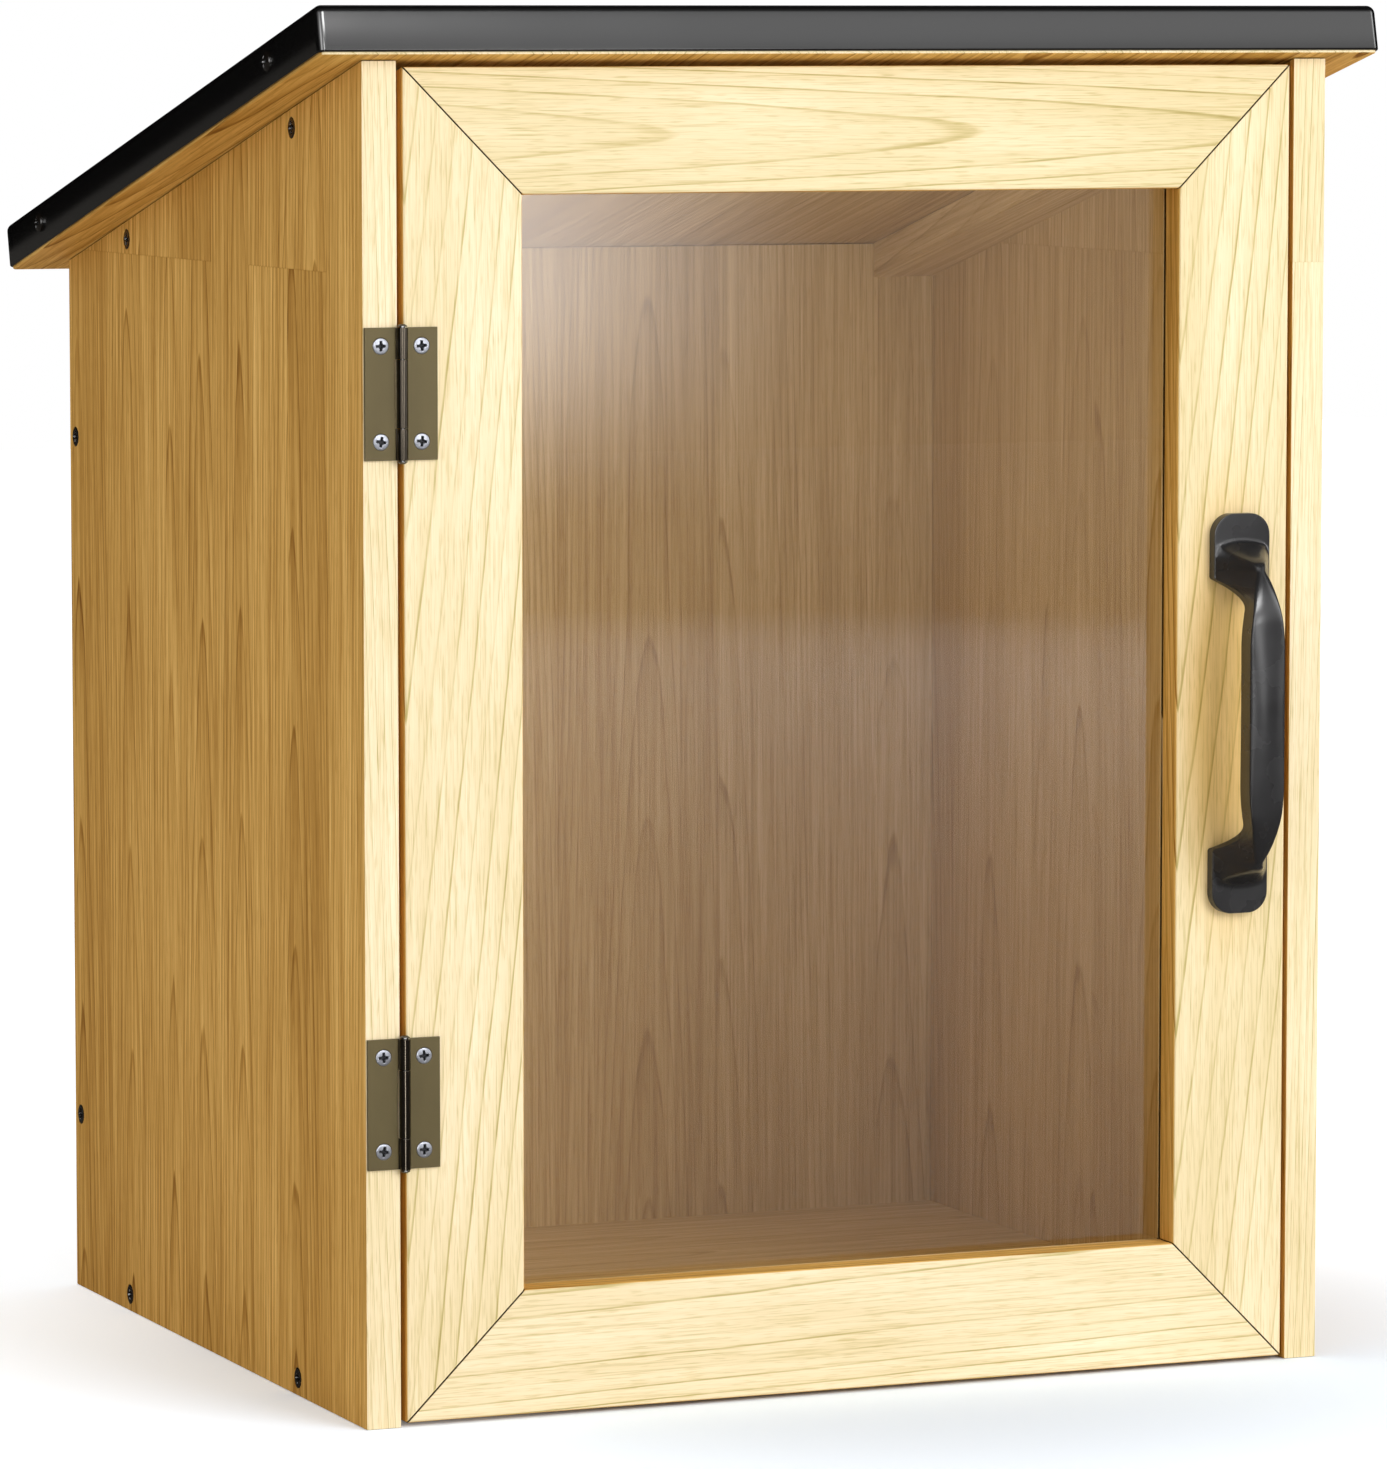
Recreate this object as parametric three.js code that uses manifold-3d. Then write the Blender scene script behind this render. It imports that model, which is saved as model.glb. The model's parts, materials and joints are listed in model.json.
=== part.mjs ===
// A street book exchange box: a small pine cabinet with a sloping roof under a folded sheet cover,
// and a glazed door with mitred corners that swings on two butt hinges and closes on a magnetic catch.
// Lengths are in millimetres and +Z is up. The door faces -Y, +X is the viewer's right, and the origin
// is the centre of the cabinet's footprint on its underside.

import * as THREE from "three";
import { mergeVertices } from "three/addons/utils/BufferGeometryUtils.js";
import Module from "manifold-3d";

const wasm = await Module();
wasm.setup();

// Cabinet: two full sides, with the back and the floor let in between them.
const bodyWidth = 405;
const bodyDepth = 355;
const frontHeight = 519;
const roofSlope = THREE.MathUtils.degToRad(13.5);
const boardThickness = 14;
const cleatWidth = 28.5;
const cleatDepth = 14.3;

// Roof: a thick board with a shallow sheet tray folded down over all four of its edges.
const roofBoardThickness = 18;
const coverThickness = 1;
const coverBendRadius = 3;
const flangeLiftHeight = 1;
const frontOverhang = 9.3;
const rearOverhang = 20.9;
const sideOverhang = 20;

// Door: a mitred frame, flush with the front edges of the sides, with a pane held by beads behind.
const doorThickness = 18;
const frameWidth = 48.5;
const rebateWidth = 8;
const rebateDepth = 6;
const paneThickness = 3;
const paneEdgeGap = 1;
const beadSetback = 0.2;
const beadSlopeShare = 2 / 3;
const easedEdge = 0.8;
const hingeGap = 2.2;
const latchGap = 1.5;
const doorFootGap = 1.5;
const doorHeadGap = 2.5;
const doorStopGap = 0.5;

// Clearances: between pieces that meet on a slope, a mitre or inside a hole, and past a cut.
const seatGap = 0.3;
const overrun = 5;

// Butt hinges: the pin stands just in front of the wood, midway across the door's gap. The upper one
// is placed from the cabinet's front top, and the lower one from its base.
const hinge = {
  height: 50,
  leafReach: 14.6,
  leafThickness: 1.2,
  knuckleRadius: 2.2,
  knuckleGap: 0.1,
  pinRadius: 1,
  pinHeadRadius: 1.9,
  pinHeadHeight: 1,
  endKnuckleShare: 0.24,
  screwReach: 8.2,
  screwInset: 7,
};
const upperHingeDrop = 125.1;
const lowerHingeHeight = 124.7;

// Pull handle: two round ended pads, each with a steep neck that narrows to a waist, from which the
// grip opens and rises. The neck starts in an arc across the pad, at the heel on its two edges and
// the heel arc before it in the middle, and its flanks reach the pad's edges where the pad's face ends.
// The pad length, and each place from the heel to the elbow, is a distance from the nearer end.
const handle = {
  length: 158.6,
  aboveMiddle: 1.7,
  inset: 22.1,
  padWidth: 24.3,
  padThickness: 4.5,
  padLength: 25.6,
  padEndRadius: 8.5,
  padRim: 0.4,
  heel: 11.6,
  heelArc: 1.6,
  padFaceEnd: 17.2,
  shoulder: 21.2,
  waist: 22.6,
  riseStart: 17,
  riseEnd: 43,
  openingStart: 21.5,
  openingEnd: 53,
  elbow: 37.3,
  waistWidth: 3,
  gripWidth: 15.3,
  frontAtShoulder: 18.5,
  frontAtMiddle: 27.7,
  backAtElbow: 17.5,
  backAtMiddle: 17.9,
  backInset: 0.8,
  crownHeight: 1.5,
  screwFromEnd: 20,
};

// How fast the grip opens, how wide the neck starts on its pad and how far out its foot lies there,
// where the flank's lower points lie on the neck and on the grip, and where the crown's points lie.
const gripPowerShare = 0.8;
const neckWidthShare = 0.8;
const neckFootShare = 0.35;
const neckFlankShare = 0.12;
const gripFlankShares = { lower: 0.3, middle: 0.45, upper: 0.6 };
const crownPointShares = [0.66, 0.33, 0, -0.33, -0.66];

// Magnetic catch: a housing with two screw tabs on the right side, and a steel keeper on the back
// of the door. Its walls are what stands between the magnet and the housing's outside.
const latch = {
  drop: 53,
  bodyLength: 30,
  bodyReach: 15,
  depth: 15,
  tabLength: 8,
  tabThickness: 3,
  endWall: 3,
  sideWall: 2.5,
  rearWall: 6,
  magnetProud: 0.8,
  keeperLength: 34,
  keeperWidth: 12,
  keeperThickness: 1.5,
};

// Screws: sink is how deep a countersunk head goes, and rise how far a head stands off its seat.
const sideScrew = { headRadius: 3.9, sink: 3, rise: 0, shankRadius: 2, length: 35 };
const roofScrew = { headRadius: 3.9, sink: 3, rise: 0, shankRadius: 2, length: 28 };
const flangeScrew = { headRadius: 3.8, sink: 0, rise: 1.8, shankRadius: 1.75, length: 16 };
const hingeScrew = { headRadius: 3.1, sink: 1.8, rise: 0.3, shankRadius: 1.4, length: 14 };
const handleScrew = { headRadius: 4, sink: 0, rise: 2.4, shankRadius: 2, length: 24.5 };
const catchScrew = { headRadius: 2.6, sink: 0, rise: 1.4, shankRadius: 1.3, length: 12 };
const keeperScrew = { headRadius: 2.9, sink: 1.2, rise: 0, shankRadius: 1.3, length: 11 };

// The cross recess of every screw and the top of a round head, as shares of its head's radius, the
// upright brim of a round head, as a share of its rise, and the point, as a share of the shank's radius.
const recessReachShare = 0.58;
const recessWidthShare = 0.26;
const recessDepthShare = 0.42;
const crownRadiusShare = 0.7;
const brimShare = 1 / 3;
const pointShare = 2;

// Screw places, as shares of the depth, height or length that carries them.
const cleatScrewShares = { front: 0.22, rear: 0.785 };
const floorScrewShares = { front: 0.22, rear: 0.8 };
const backScrewShares = { lower: 0.17, upper: 0.83 };
const flangeScrewShares = { front: 0.14, rear: 0.877 };
const roofScrewShares = { front: 0.12, rear: 0.88 };

// Facets round a screw, a knuckle, a pin and a rounded corner, and steps along the handle's stretches.
const screwSides = 12;
const knuckleSides = 16;
const pinSides = 12;
const cornerSteps = 3;
const handleEndSteps = 6;
const handlePadSteps = 2;
const handleStretchSteps = 6;

// Derived places
const slopeTan = Math.tan(roofSlope);
const slopeCos = Math.cos(roofSlope);
const slopeLength = bodyDepth / slopeCos;
const halfWidth = bodyWidth / 2;
const halfDepth = bodyDepth / 2;
const innerHalfWidth = halfWidth - boardThickness;
const rearHeight = frontHeight - bodyDepth * slopeTan;
const hingeStandoff = hinge.knuckleRadius + hinge.knuckleGap;
const hingeX = -innerHalfWidth + hingeGap / 2;
const hingeY = -halfDepth - hingeStandoff;
const doorWidth = 2 * innerHalfWidth - hingeGap - latchGap;
const doorTop = frontHeight - doorHeadGap;
const stopY = -halfDepth + doorThickness + doorStopGap;
const backPanelY = halfDepth - boardThickness;
const handleX = innerHalfWidth - latchGap - handle.inset;
const handleZ = (doorFootGap + doorTop) / 2 + handle.aboveMiddle;
const catchZ = frontHeight - latch.drop;

const finishes = {
  pine: { color: 0xe8cb8f, roughness: 0.55, metalness: 0 },
  coating: { color: 0x1c1c1d, roughness: 0.4, metalness: 0.1 },
  blackScrew: { color: 0x17130f, roughness: 0.35, metalness: 0.6 },
  bronze: { color: 0x73664e, roughness: 0.45, metalness: 0.7 },
  zinc: { color: 0xb9bcc2, roughness: 0.3, metalness: 0.9 },
  satinBlack: { color: 0x232324, roughness: 0.35, metalness: 0.3 },
  glass: { color: 0xdfe6e4, roughness: 0.05, metalness: 0, transparent: true, opacity: 0.3 },
  plastic: { color: 0xe4e0d6, roughness: 0.5, metalness: 0 },
  steel: { color: 0x9b9ea3, roughness: 0.3, metalness: 0.9 },
};

// Height of the roof's underside above the base, at a distance y from the cabinet's centre.
function roofHeight(y) {
  return frontHeight - (y + halfDepth) * slopeTan;
}

// A closed three.js geometry as a solid that can be cut and joined.
function solidOf(geometry) {
  const bare = new THREE.BufferGeometry();
  bare.setAttribute("position", geometry.getAttribute("position"));
  bare.setIndex(geometry.getIndex());
  const merged = mergeVertices(bare);
  const corners = merged.getIndex().array;
  const triVerts = [];
  for (let i = 0; i < corners.length; i += 3) {
    const [a, b, c] = corners.slice(i, i + 3);
    if (a !== b && b !== c && c !== a) triVerts.push(a, b, c);
  }
  const vertProperties = merged.getAttribute("position").array;
  return new wasm.Manifold(
    new wasm.Mesh({ numProp: 3, vertProperties, triVerts: new Uint32Array(triVerts) }),
  );
}

function geometryOf(solid) {
  const mesh = solid.getMesh();
  const indexed = new THREE.BufferGeometry();
  indexed.setAttribute("position", new THREE.BufferAttribute(mesh.vertProperties, 3));
  indexed.setIndex(new THREE.BufferAttribute(mesh.triVerts, 1));
  const flat = indexed.toNonIndexed();
  flat.computeVertexNormals();
  return flat;
}

// One named piece in a group, placed by a matrix in that group's frame.
function addPiece(group, name, solid, finish, matrix = new THREE.Matrix4()) {
  const mesh = new THREE.Mesh(geometryOf(solid), new THREE.MeshStandardMaterial(finish));
  mesh.name = name;
  mesh.applyMatrix4(matrix);
  group.add(mesh);
}

function box(low, high) {
  const size = high.map((value, i) => value - low[i]);
  const middle = high.map((value, i) => (value + low[i]) / 2);
  return solidOf(new THREE.BoxGeometry(...size).translate(...middle));
}

// A flat outline pushed along the third axis of a basis: its points are measured along the first two.
function prism(outline, depth, axisA, axisB, axisC) {
  const shape = new THREE.Shape(outline.map(([a, b]) => new THREE.Vector2(a, b)));
  const geometry = new THREE.ExtrudeGeometry(shape, { depth, bevelEnabled: false });
  return geometry.applyMatrix4(new THREE.Matrix4().makeBasis(axisA, axisB, axisC));
}

const unitX = new THREE.Vector3(1, 0, 0);
const unitY = new THREE.Vector3(0, 1, 0);
const unitZ = new THREE.Vector3(0, 0, 1);

// A solid with an outline in Y and Z, between two values of X.
function sideProfile(outline, fromX, toX) {
  return solidOf(prism(outline, toX - fromX, unitY, unitZ, unitX).translate(fromX, 0, 0));
}

// A solid round the Z axis, between two heights, as a regular prism whose flats lie at the radius.
function roundPost(radius, sides, fromZ, toZ) {
  const cornerRadius = radius / Math.cos(Math.PI / sides);
  const post = new THREE.CylinderGeometry(cornerRadius, cornerRadius, toZ - fromZ, sides);
  return solidOf(post.rotateX(Math.PI / 2).translate(0, 0, (fromZ + toZ) / 2));
}

// A closed skin over rings of points that all turn anticlockwise about the way they climb.
function loft(rings) {
  const count = rings[0].length;
  const positions = rings.flat(2);
  const index = [];
  for (let r = 0; r < rings.length - 1; r++) {
    for (let i = 0; i < count; i++) {
      const next = (i + 1) % count;
      const low = r * count;
      const high = low + count;
      index.push(low + i, low + next, high + i);
      index.push(low + next, high + next, high + i);
    }
  }
  const top = (rings.length - 1) * count;
  for (let i = 1; i < count - 1; i++) {
    index.push(0, i + 1, i);
    index.push(top, top + i, top + i + 1);
  }
  const geometry = new THREE.BufferGeometry();
  geometry.setAttribute("position", new THREE.Float32BufferAttribute(positions, 3));
  geometry.setIndex(index);
  return solidOf(geometry);
}

// A matrix that puts a local +Z along a direction at a point.
function facing(point, direction) {
  const turn = new THREE.Quaternion().setFromUnitVectors(unitZ, direction.clone().normalize());
  return new THREE.Matrix4().compose(point, turn, new THREE.Vector3(1, 1, 1));
}

// A turned body along +Z from points of radius and height, given from the bottom to the top.
function turned(points, sides) {
  const profile = points.map(([radius, height]) => new THREE.Vector2(radius, height));
  return new THREE.LatheGeometry(profile, sides).rotateX(Math.PI / 2);
}

// A screw whose head points to +Z and seats at height 0.
function screwSolid(screw) {
  const tip = screw.shankRadius * pointShare;
  const top = screw.rise;
  const points = [
    [0, -screw.length],
    [screw.shankRadius, tip - screw.length],
    [screw.shankRadius, -screw.sink],
    [screw.headRadius, 0],
  ];
  if (screw.rise) {
    points.push([screw.headRadius, top * brimShare]);
    points.push([screw.headRadius * crownRadiusShare, top]);
  }
  points.push([0, top]);
  const reach = screw.headRadius * recessReachShare;
  const half = (screw.headRadius * recessWidthShare) / 2;
  const floor = top - screw.headRadius * recessDepthShare;
  return solidOf(turned(points, screwSides))
    .subtract(box([-reach, -half, floor], [reach, half, top + overrun]))
    .subtract(box([-half, -reach, floor], [half, reach, top + overrun]));
}

// The hole a screw leaves, with the same clearance all round it.
function screwHole(screw, matrix) {
  const mouth = screw.sink ? screw.headRadius : screw.shankRadius;
  const points = [
    [0, -screw.length - seatGap],
    [screw.shankRadius + seatGap, -screw.length - seatGap],
    [screw.shankRadius + seatGap, -screw.sink],
    [mouth + seatGap, 0],
    [mouth + seatGap, overrun],
    [0, overrun],
  ];
  return solidOf(turned(points, screwSides).applyMatrix4(matrix));
}

function drill(solid, screw, matrices) {
  return matrices.reduce((left, matrix) => left.subtract(screwHole(screw, matrix)), solid);
}

const boxRoot = new THREE.Group();
const cabinet = new THREE.Group();
const roof = new THREE.Group();
const door = new THREE.Group();
boxRoot.add(cabinet, roof, door);
roof.position.set(0, -halfDepth, frontHeight);
roof.rotation.x = -roofSlope;
roof.updateMatrix();
door.position.set(hingeX, hingeY, 0);
door.updateMatrix();

const sides = [
  { name: "left", sign: -1 },
  { name: "right", sign: 1 },
];

// Screws through one side, into the cleat, the back and the floor.
function sidePlaces(sign) {
  const outward = new THREE.Vector3(sign, 0, 0);
  const at = (y, z) => facing(new THREE.Vector3(sign * halfWidth, y, z), outward);
  const cleatDrop = (seatGap + cleatDepth / 2) / slopeCos;
  const cleat = Object.entries(cleatScrewShares).map(([end, share]) => {
    const y = share * bodyDepth - halfDepth;
    return [`cleat_screw_${end}`, at(y, roofHeight(y) - cleatDrop)];
  });
  const floor = Object.entries(floorScrewShares).map(([end, share]) => [
    `floor_screw_${end}`,
    at(share * bodyDepth - halfDepth, boardThickness / 2),
  ]);
  const back = Object.entries(backScrewShares).map(([end, share]) => [
    `back_screw_${end}`,
    at(halfDepth - boardThickness / 2, share * rearHeight),
  ]);
  return { cleat, floor, back };
}

const places = new Map(sides.map(({ name, sign }) => [name, sidePlaces(sign)]));
const matricesOf = (entries) => entries.map(([, matrix]) => matrix);

// Hinge screws, in a frame whose origin is the hinge's axis at mid height.
function leafPlaces(sign) {
  const x = sign * hinge.screwReach;
  const y = hingeStandoff - hinge.leafThickness;
  const reach = hinge.height / 2 - hinge.screwInset;
  const forward = unitY.clone().negate();
  return [
    ["top", facing(new THREE.Vector3(x, y, reach), forward)],
    ["bottom", facing(new THREE.Vector3(x, y, -reach), forward)],
  ];
}

const hinges = [
  { name: "upper_hinge", height: frontHeight - upperHingeDrop },
  { name: "lower_hinge", height: lowerHingeHeight },
];

function raised(matrix, height) {
  return new THREE.Matrix4().makeTranslation(0, 0, height).multiply(matrix);
}

function hingeScrewMatrices(sign) {
  return hinges.flatMap(({ height }) =>
    leafPlaces(sign).map(([, matrix]) => raised(matrix, height)),
  );
}

// Catch screws, through the middle of the housing's tabs into the right side.
const catchFace = innerHalfWidth - latch.tabThickness;
const catchFrontY = stopY + latch.keeperThickness + latch.magnetProud;
const catchY = catchFrontY + latch.depth / 2;
const ends = [
  { end: "upper", sign: 1 },
  { end: "lower", sign: -1 },
];
const catchPlaces = ends.map(({ end, sign }) => {
  const z = catchZ + (sign * (latch.bodyLength + latch.tabLength)) / 2;
  const seat = new THREE.Vector3(catchFace - seatGap, catchY, z);
  return [`catch_screw_${end}`, facing(seat, unitX.clone().negate())];
});

// Screws down through the roof board into the cleats, in the roof's own frame.
const cleatFrontU = (stopY + halfDepth) / slopeCos;
const cleatRearU = (backPanelY + halfDepth) / slopeCos;
const roofScrewPlaces = sides.flatMap(({ name, sign }) =>
  Object.entries(roofScrewShares).map(([end, share]) => {
    const u = cleatFrontU + share * (cleatRearU - cleatFrontU);
    const x = sign * (innerHalfWidth - cleatWidth / 2);
    const seat = new THREE.Vector3(x, u, roofBoardThickness);
    return [`${name}_roof_screw_${end}`, facing(seat, unitZ)];
  }),
);

// Screws through the cover's side flanges into the edges of the roof board.
const coverTop = roofBoardThickness + seatGap + coverThickness;
const coverLength = frontOverhang + slopeLength + rearOverhang;
const flangeScrewPlaces = sides.flatMap(({ name, sign }) =>
  Object.entries(flangeScrewShares).map(([end, share]) => {
    const x = sign * (halfWidth + sideOverhang + seatGap);
    const u = share * coverLength - frontOverhang;
    const seat = new THREE.Vector3(x, u, (coverTop + flangeLiftHeight) / 2);
    return [`${name}_flange_screw_${end}`, facing(seat, new THREE.Vector3(sign, 0, 0))];
  }),
);

function addSidePanels() {
  const top = (y) => roofHeight(y) - seatGap / slopeCos;
  const outline = [
    [-halfDepth, 0],
    [halfDepth, 0],
    [halfDepth, top(halfDepth)],
    [-halfDepth, top(-halfDepth)],
  ];
  const toWorld = new THREE.Matrix4().makeTranslation(hingeX, hingeY, 0);
  for (const { name, sign } of sides) {
    const faces = [sign * innerHalfWidth, sign * halfWidth].sort((a, b) => a - b);
    const { cleat, floor, back } = places.get(name);
    let panel = sideProfile(outline, ...faces);
    panel = drill(panel, sideScrew, matricesOf([...cleat, ...floor, ...back]));
    if (sign < 0) {
      const holes = hingeScrewMatrices(-1).map((matrix) => toWorld.clone().multiply(matrix));
      panel = drill(panel, hingeScrew, holes);
    } else {
      panel = drill(panel, catchScrew, matricesOf(catchPlaces));
    }
    addPiece(cabinet, `${name}_side_panel`, panel, finishes.pine);
    for (const [label, matrix] of [...cleat, ...floor, ...back]) {
      addPiece(cabinet, `${name}_${label}`, screwSolid(sideScrew), finishes.blackScrew, matrix);
    }
  }
}

function addBackAndFloor() {
  const top = (y) => roofHeight(y) - seatGap / slopeCos;
  const outline = [
    [backPanelY, 0],
    [halfDepth, 0],
    [halfDepth, top(halfDepth)],
    [backPanelY, top(backPanelY)],
  ];
  const bothSides = [...places.values()];
  const backHoles = bothSides.flatMap(({ back }) => matricesOf(back));
  const floorHoles = bothSides.flatMap(({ floor }) => matricesOf(floor));
  const back = sideProfile(outline, -innerHalfWidth, innerHalfWidth);
  const floor = box([-innerHalfWidth, stopY, 0], [innerHalfWidth, backPanelY, boardThickness]);
  addPiece(cabinet, "back_panel", drill(back, sideScrew, backHoles), finishes.pine);
  addPiece(cabinet, "floor_panel", drill(floor, sideScrew, floorHoles), finishes.pine);
}

// Cleats: a sloping strip in each top corner, square to the back panel, that carries the roof.
function addCleats() {
  const rear = backPanelY;
  const top = (y) => roofHeight(y) - seatGap / slopeCos;
  const drop = cleatDepth / slopeCos;
  const outline = [
    [stopY, top(stopY) - drop],
    [rear, top(rear) - drop],
    [rear, top(rear)],
    [stopY, top(stopY)],
  ];
  const roofHoles = roofScrewPlaces.map(([, matrix]) => roof.matrix.clone().multiply(matrix));
  for (const { name, sign } of sides) {
    const faces = [sign * innerHalfWidth, sign * (innerHalfWidth - cleatWidth)];
    faces.sort((a, b) => a - b);
    let cleat = sideProfile(outline, ...faces);
    cleat = drill(cleat, sideScrew, matricesOf(places.get(name).cleat));
    cleat = drill(cleat, roofScrew, roofHoles);
    addPiece(cabinet, `${name}_roof_cleat`, cleat, finishes.pine);
  }
}

// A slab with rounded corners and a rounded upper rim, from its half width and its ends along Y.
function roundedSlab(halfX, fromY, toY, fromZ, toZ, radius) {
  const quarter = (step) => (step / cornerSteps) * (Math.PI / 2);
  const middle = (fromY + toY) / 2;
  const halfY = (toY - fromY) / 2;
  const ring = (inset, z) => {
    const points = [];
    for (let corner = 0; corner < 4; corner++) {
      const signX = corner === 0 || corner === 3 ? 1 : -1;
      const signY = corner < 2 ? 1 : -1;
      for (let step = 0; step <= cornerSteps; step++) {
        const angle = quarter(step) + (corner * Math.PI) / 2;
        const x = signX * (halfX - radius) + (radius - inset) * Math.cos(angle);
        const y = signY * (halfY - radius) + (radius - inset) * Math.sin(angle);
        points.push([x, middle + y, z]);
      }
    }
    return points;
  };
  const rings = [ring(0, fromZ)];
  for (let step = 0; step <= cornerSteps; step++) {
    const angle = quarter(step);
    rings.push(ring(radius * (1 - Math.cos(angle)), toZ - radius * (1 - Math.sin(angle))));
  }
  return loft(rings);
}

function addRoof() {
  const holes = matricesOf(flangeScrewPlaces);
  const halfX = halfWidth + sideOverhang;
  const rear = slopeLength + rearOverhang;
  const slab = (inset, fromZ) => {
    const radius = coverBendRadius - inset;
    const topZ = coverTop - inset;
    return roundedSlab(halfX - inset, inset - frontOverhang, rear - inset, fromZ, topZ, radius);
  };
  let board = slab(coverThickness + seatGap, 0);
  board = drill(board, roofScrew, matricesOf(roofScrewPlaces));
  board = drill(board, flangeScrew, holes);
  const tray = slab(0, flangeLiftHeight).subtract(slab(coverThickness, flangeLiftHeight - overrun));
  addPiece(roof, "roof_board", board, finishes.pine);
  addPiece(roof, "roof_cover", drill(tray, flangeScrew, holes), finishes.coating);
  for (const [name, matrix] of roofScrewPlaces) {
    addPiece(roof, name, screwSolid(roofScrew), finishes.zinc, matrix);
  }
  for (const [name, matrix] of flangeScrewPlaces) {
    addPiece(roof, name, screwSolid(flangeScrew), finishes.blackScrew, matrix);
  }
}

// One stick of a mitred frame. The section is measured inwards from the frame's outer edge and
// backwards from its front; the stick runs along X with its outer edge down and 45 degree ends.
function mitredStick(section, length) {
  const stick = prism(section, length, unitZ, unitY, unitX.clone().negate());
  stick.translate(length / 2, 0, 0);
  const position = stick.getAttribute("position");
  const shortening = seatGap / Math.SQRT2;
  for (let i = 0; i < position.count; i++) {
    const reach = length / 2 - shortening - position.getZ(i);
    position.setX(i, Math.sign(position.getX(i)) * reach);
  }
  return stick;
}

// Four mitred sticks round a rectangle, in the door's frame.
function mitredFrame(section, left, bottom, width, height, frontY) {
  const middleX = left + width / 2;
  const middleZ = bottom + height / 2;
  const place = (length, turn, x, z) =>
    solidOf(mitredStick(section, length).rotateY(turn).translate(x, frontY, z));
  return {
    bottom: place(width, 0, middleX, bottom),
    top: place(width, Math.PI, middleX, bottom + height),
    left: place(height, Math.PI / 2, left, middleZ),
    right: place(height, -Math.PI / 2, left + width, middleZ),
  };
}

const doorLeft = hingeGap / 2;
const doorFace = hingeStandoff;
const doorBack = doorFace + doorThickness;
const doorHeight = doorTop - doorFootGap;
const handleLocal = new THREE.Vector3(handleX - hingeX, doorFace, handleZ);
const handleScrewPlaces = ends.map(({ end, sign }) => {
  const z = handleZ + sign * (handle.length / 2 - handle.screwFromEnd);
  const seat = new THREE.Vector3(handleLocal.x, doorBack + seatGap, z);
  return [`handle_screw_${end}`, facing(seat, unitY)];
});
const keeperX = catchFace - (latch.bodyReach - latch.tabThickness) / 2 - hingeX;
const keeperBack = doorBack + latch.keeperThickness;
const keeperPlace = facing(new THREE.Vector3(keeperX, keeperBack, catchZ), unitY);

function addDoorFrame() {
  const section = [
    [easedEdge, 0],
    [frameWidth - easedEdge, 0],
    [frameWidth, easedEdge],
    [frameWidth, doorThickness - rebateDepth],
    [frameWidth - rebateWidth, doorThickness - rebateDepth],
    [frameWidth - rebateWidth, doorThickness],
    [0, doorThickness],
    [0, easedEdge],
  ];
  const sticks = mitredFrame(section, doorLeft, doorFootGap, doorWidth, doorHeight, doorFace);
  const rise = overrun * slopeTan;
  const aboveDoor = sideProfile(
    [
      [doorFace - overrun, doorTop + rise],
      [doorBack + overrun, doorTop - doorThickness * slopeTan - rise],
      [doorBack + overrun, doorTop + frameWidth],
      [doorFace - overrun, doorTop + frameWidth],
    ],
    doorLeft - overrun,
    doorLeft + doorWidth + overrun,
  );
  const hingeStile = drill(sticks.left.subtract(aboveDoor), hingeScrew, hingeScrewMatrices(1));
  let latchStile = sticks.right.subtract(aboveDoor);
  latchStile = drill(latchStile, handleScrew, matricesOf(handleScrewPlaces));
  latchStile = drill(latchStile, keeperScrew, [keeperPlace]);
  addPiece(door, "left_stile", hingeStile, finishes.pine);
  addPiece(door, "right_stile", latchStile, finishes.pine);
  addPiece(door, "top_rail", sticks.top.subtract(aboveDoor), finishes.pine);
  addPiece(door, "bottom_rail", sticks.bottom, finishes.pine);
}

function addGlazing() {
  const inset = frameWidth - rebateWidth;
  const shoulder = doorBack - rebateDepth;
  const low = [doorLeft + inset + paneEdgeGap, shoulder, doorFootGap + inset + paneEdgeGap];
  const high = [
    doorLeft + doorWidth - inset - paneEdgeGap,
    shoulder + paneThickness,
    doorTop - inset - paneEdgeGap,
  ];
  addPiece(door, "glass_pane", box(low, high), finishes.glass);
  const beadWidth = rebateWidth - seatGap - beadSetback;
  const beadDepth = rebateDepth - paneThickness;
  const beadSlope = beadDepth * beadSlopeShare;
  const section = [
    [0, 0],
    [beadWidth, 0],
    [beadWidth, beadDepth - beadSlope],
    [beadWidth - beadSlope, beadDepth],
    [0, beadDepth],
  ];
  const outer = inset + seatGap;
  const beads = mitredFrame(
    section,
    doorLeft + outer,
    doorFootGap + outer,
    doorWidth - 2 * outer,
    doorHeight - 2 * outer,
    shoulder + paneThickness,
  );
  for (const [side, bead] of Object.entries(beads)) {
    addPiece(door, `${side}_glazing_bead`, bead, finishes.pine);
  }
}

// One hinge leaf in the hinge's own frame, with the knuckles between the heights it is given.
function hingeLeaf(sign, knuckles) {
  const half = hinge.height / 2;
  const back = hingeStandoff;
  const front = back - hinge.leafThickness;
  const knuckleFlat = hinge.knuckleRadius * Math.cos(Math.PI / knuckleSides);
  const clear = hinge.knuckleRadius + seatGap;
  const span = (from, to) => [from, to].sort((a, b) => a - b);
  const plate = (nearX, fromZ, toZ) => {
    const [lowX, highX] = span(sign * nearX, sign * hinge.leafReach);
    return box([lowX, front, fromZ], [highX, back, toZ]);
  };
  const bore = roundPost(hinge.pinRadius + seatGap, pinSides, -half - overrun, half + overrun);
  let leaf = plate(clear, -half, half);
  for (const [fromZ, toZ] of knuckles) {
    leaf = leaf.add(plate(0, fromZ, toZ));
    leaf = leaf.add(roundPost(knuckleFlat, knuckleSides, fromZ, toZ));
  }
  return drill(leaf.subtract(bore), hingeScrew, matricesOf(leafPlaces(sign)));
}

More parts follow.
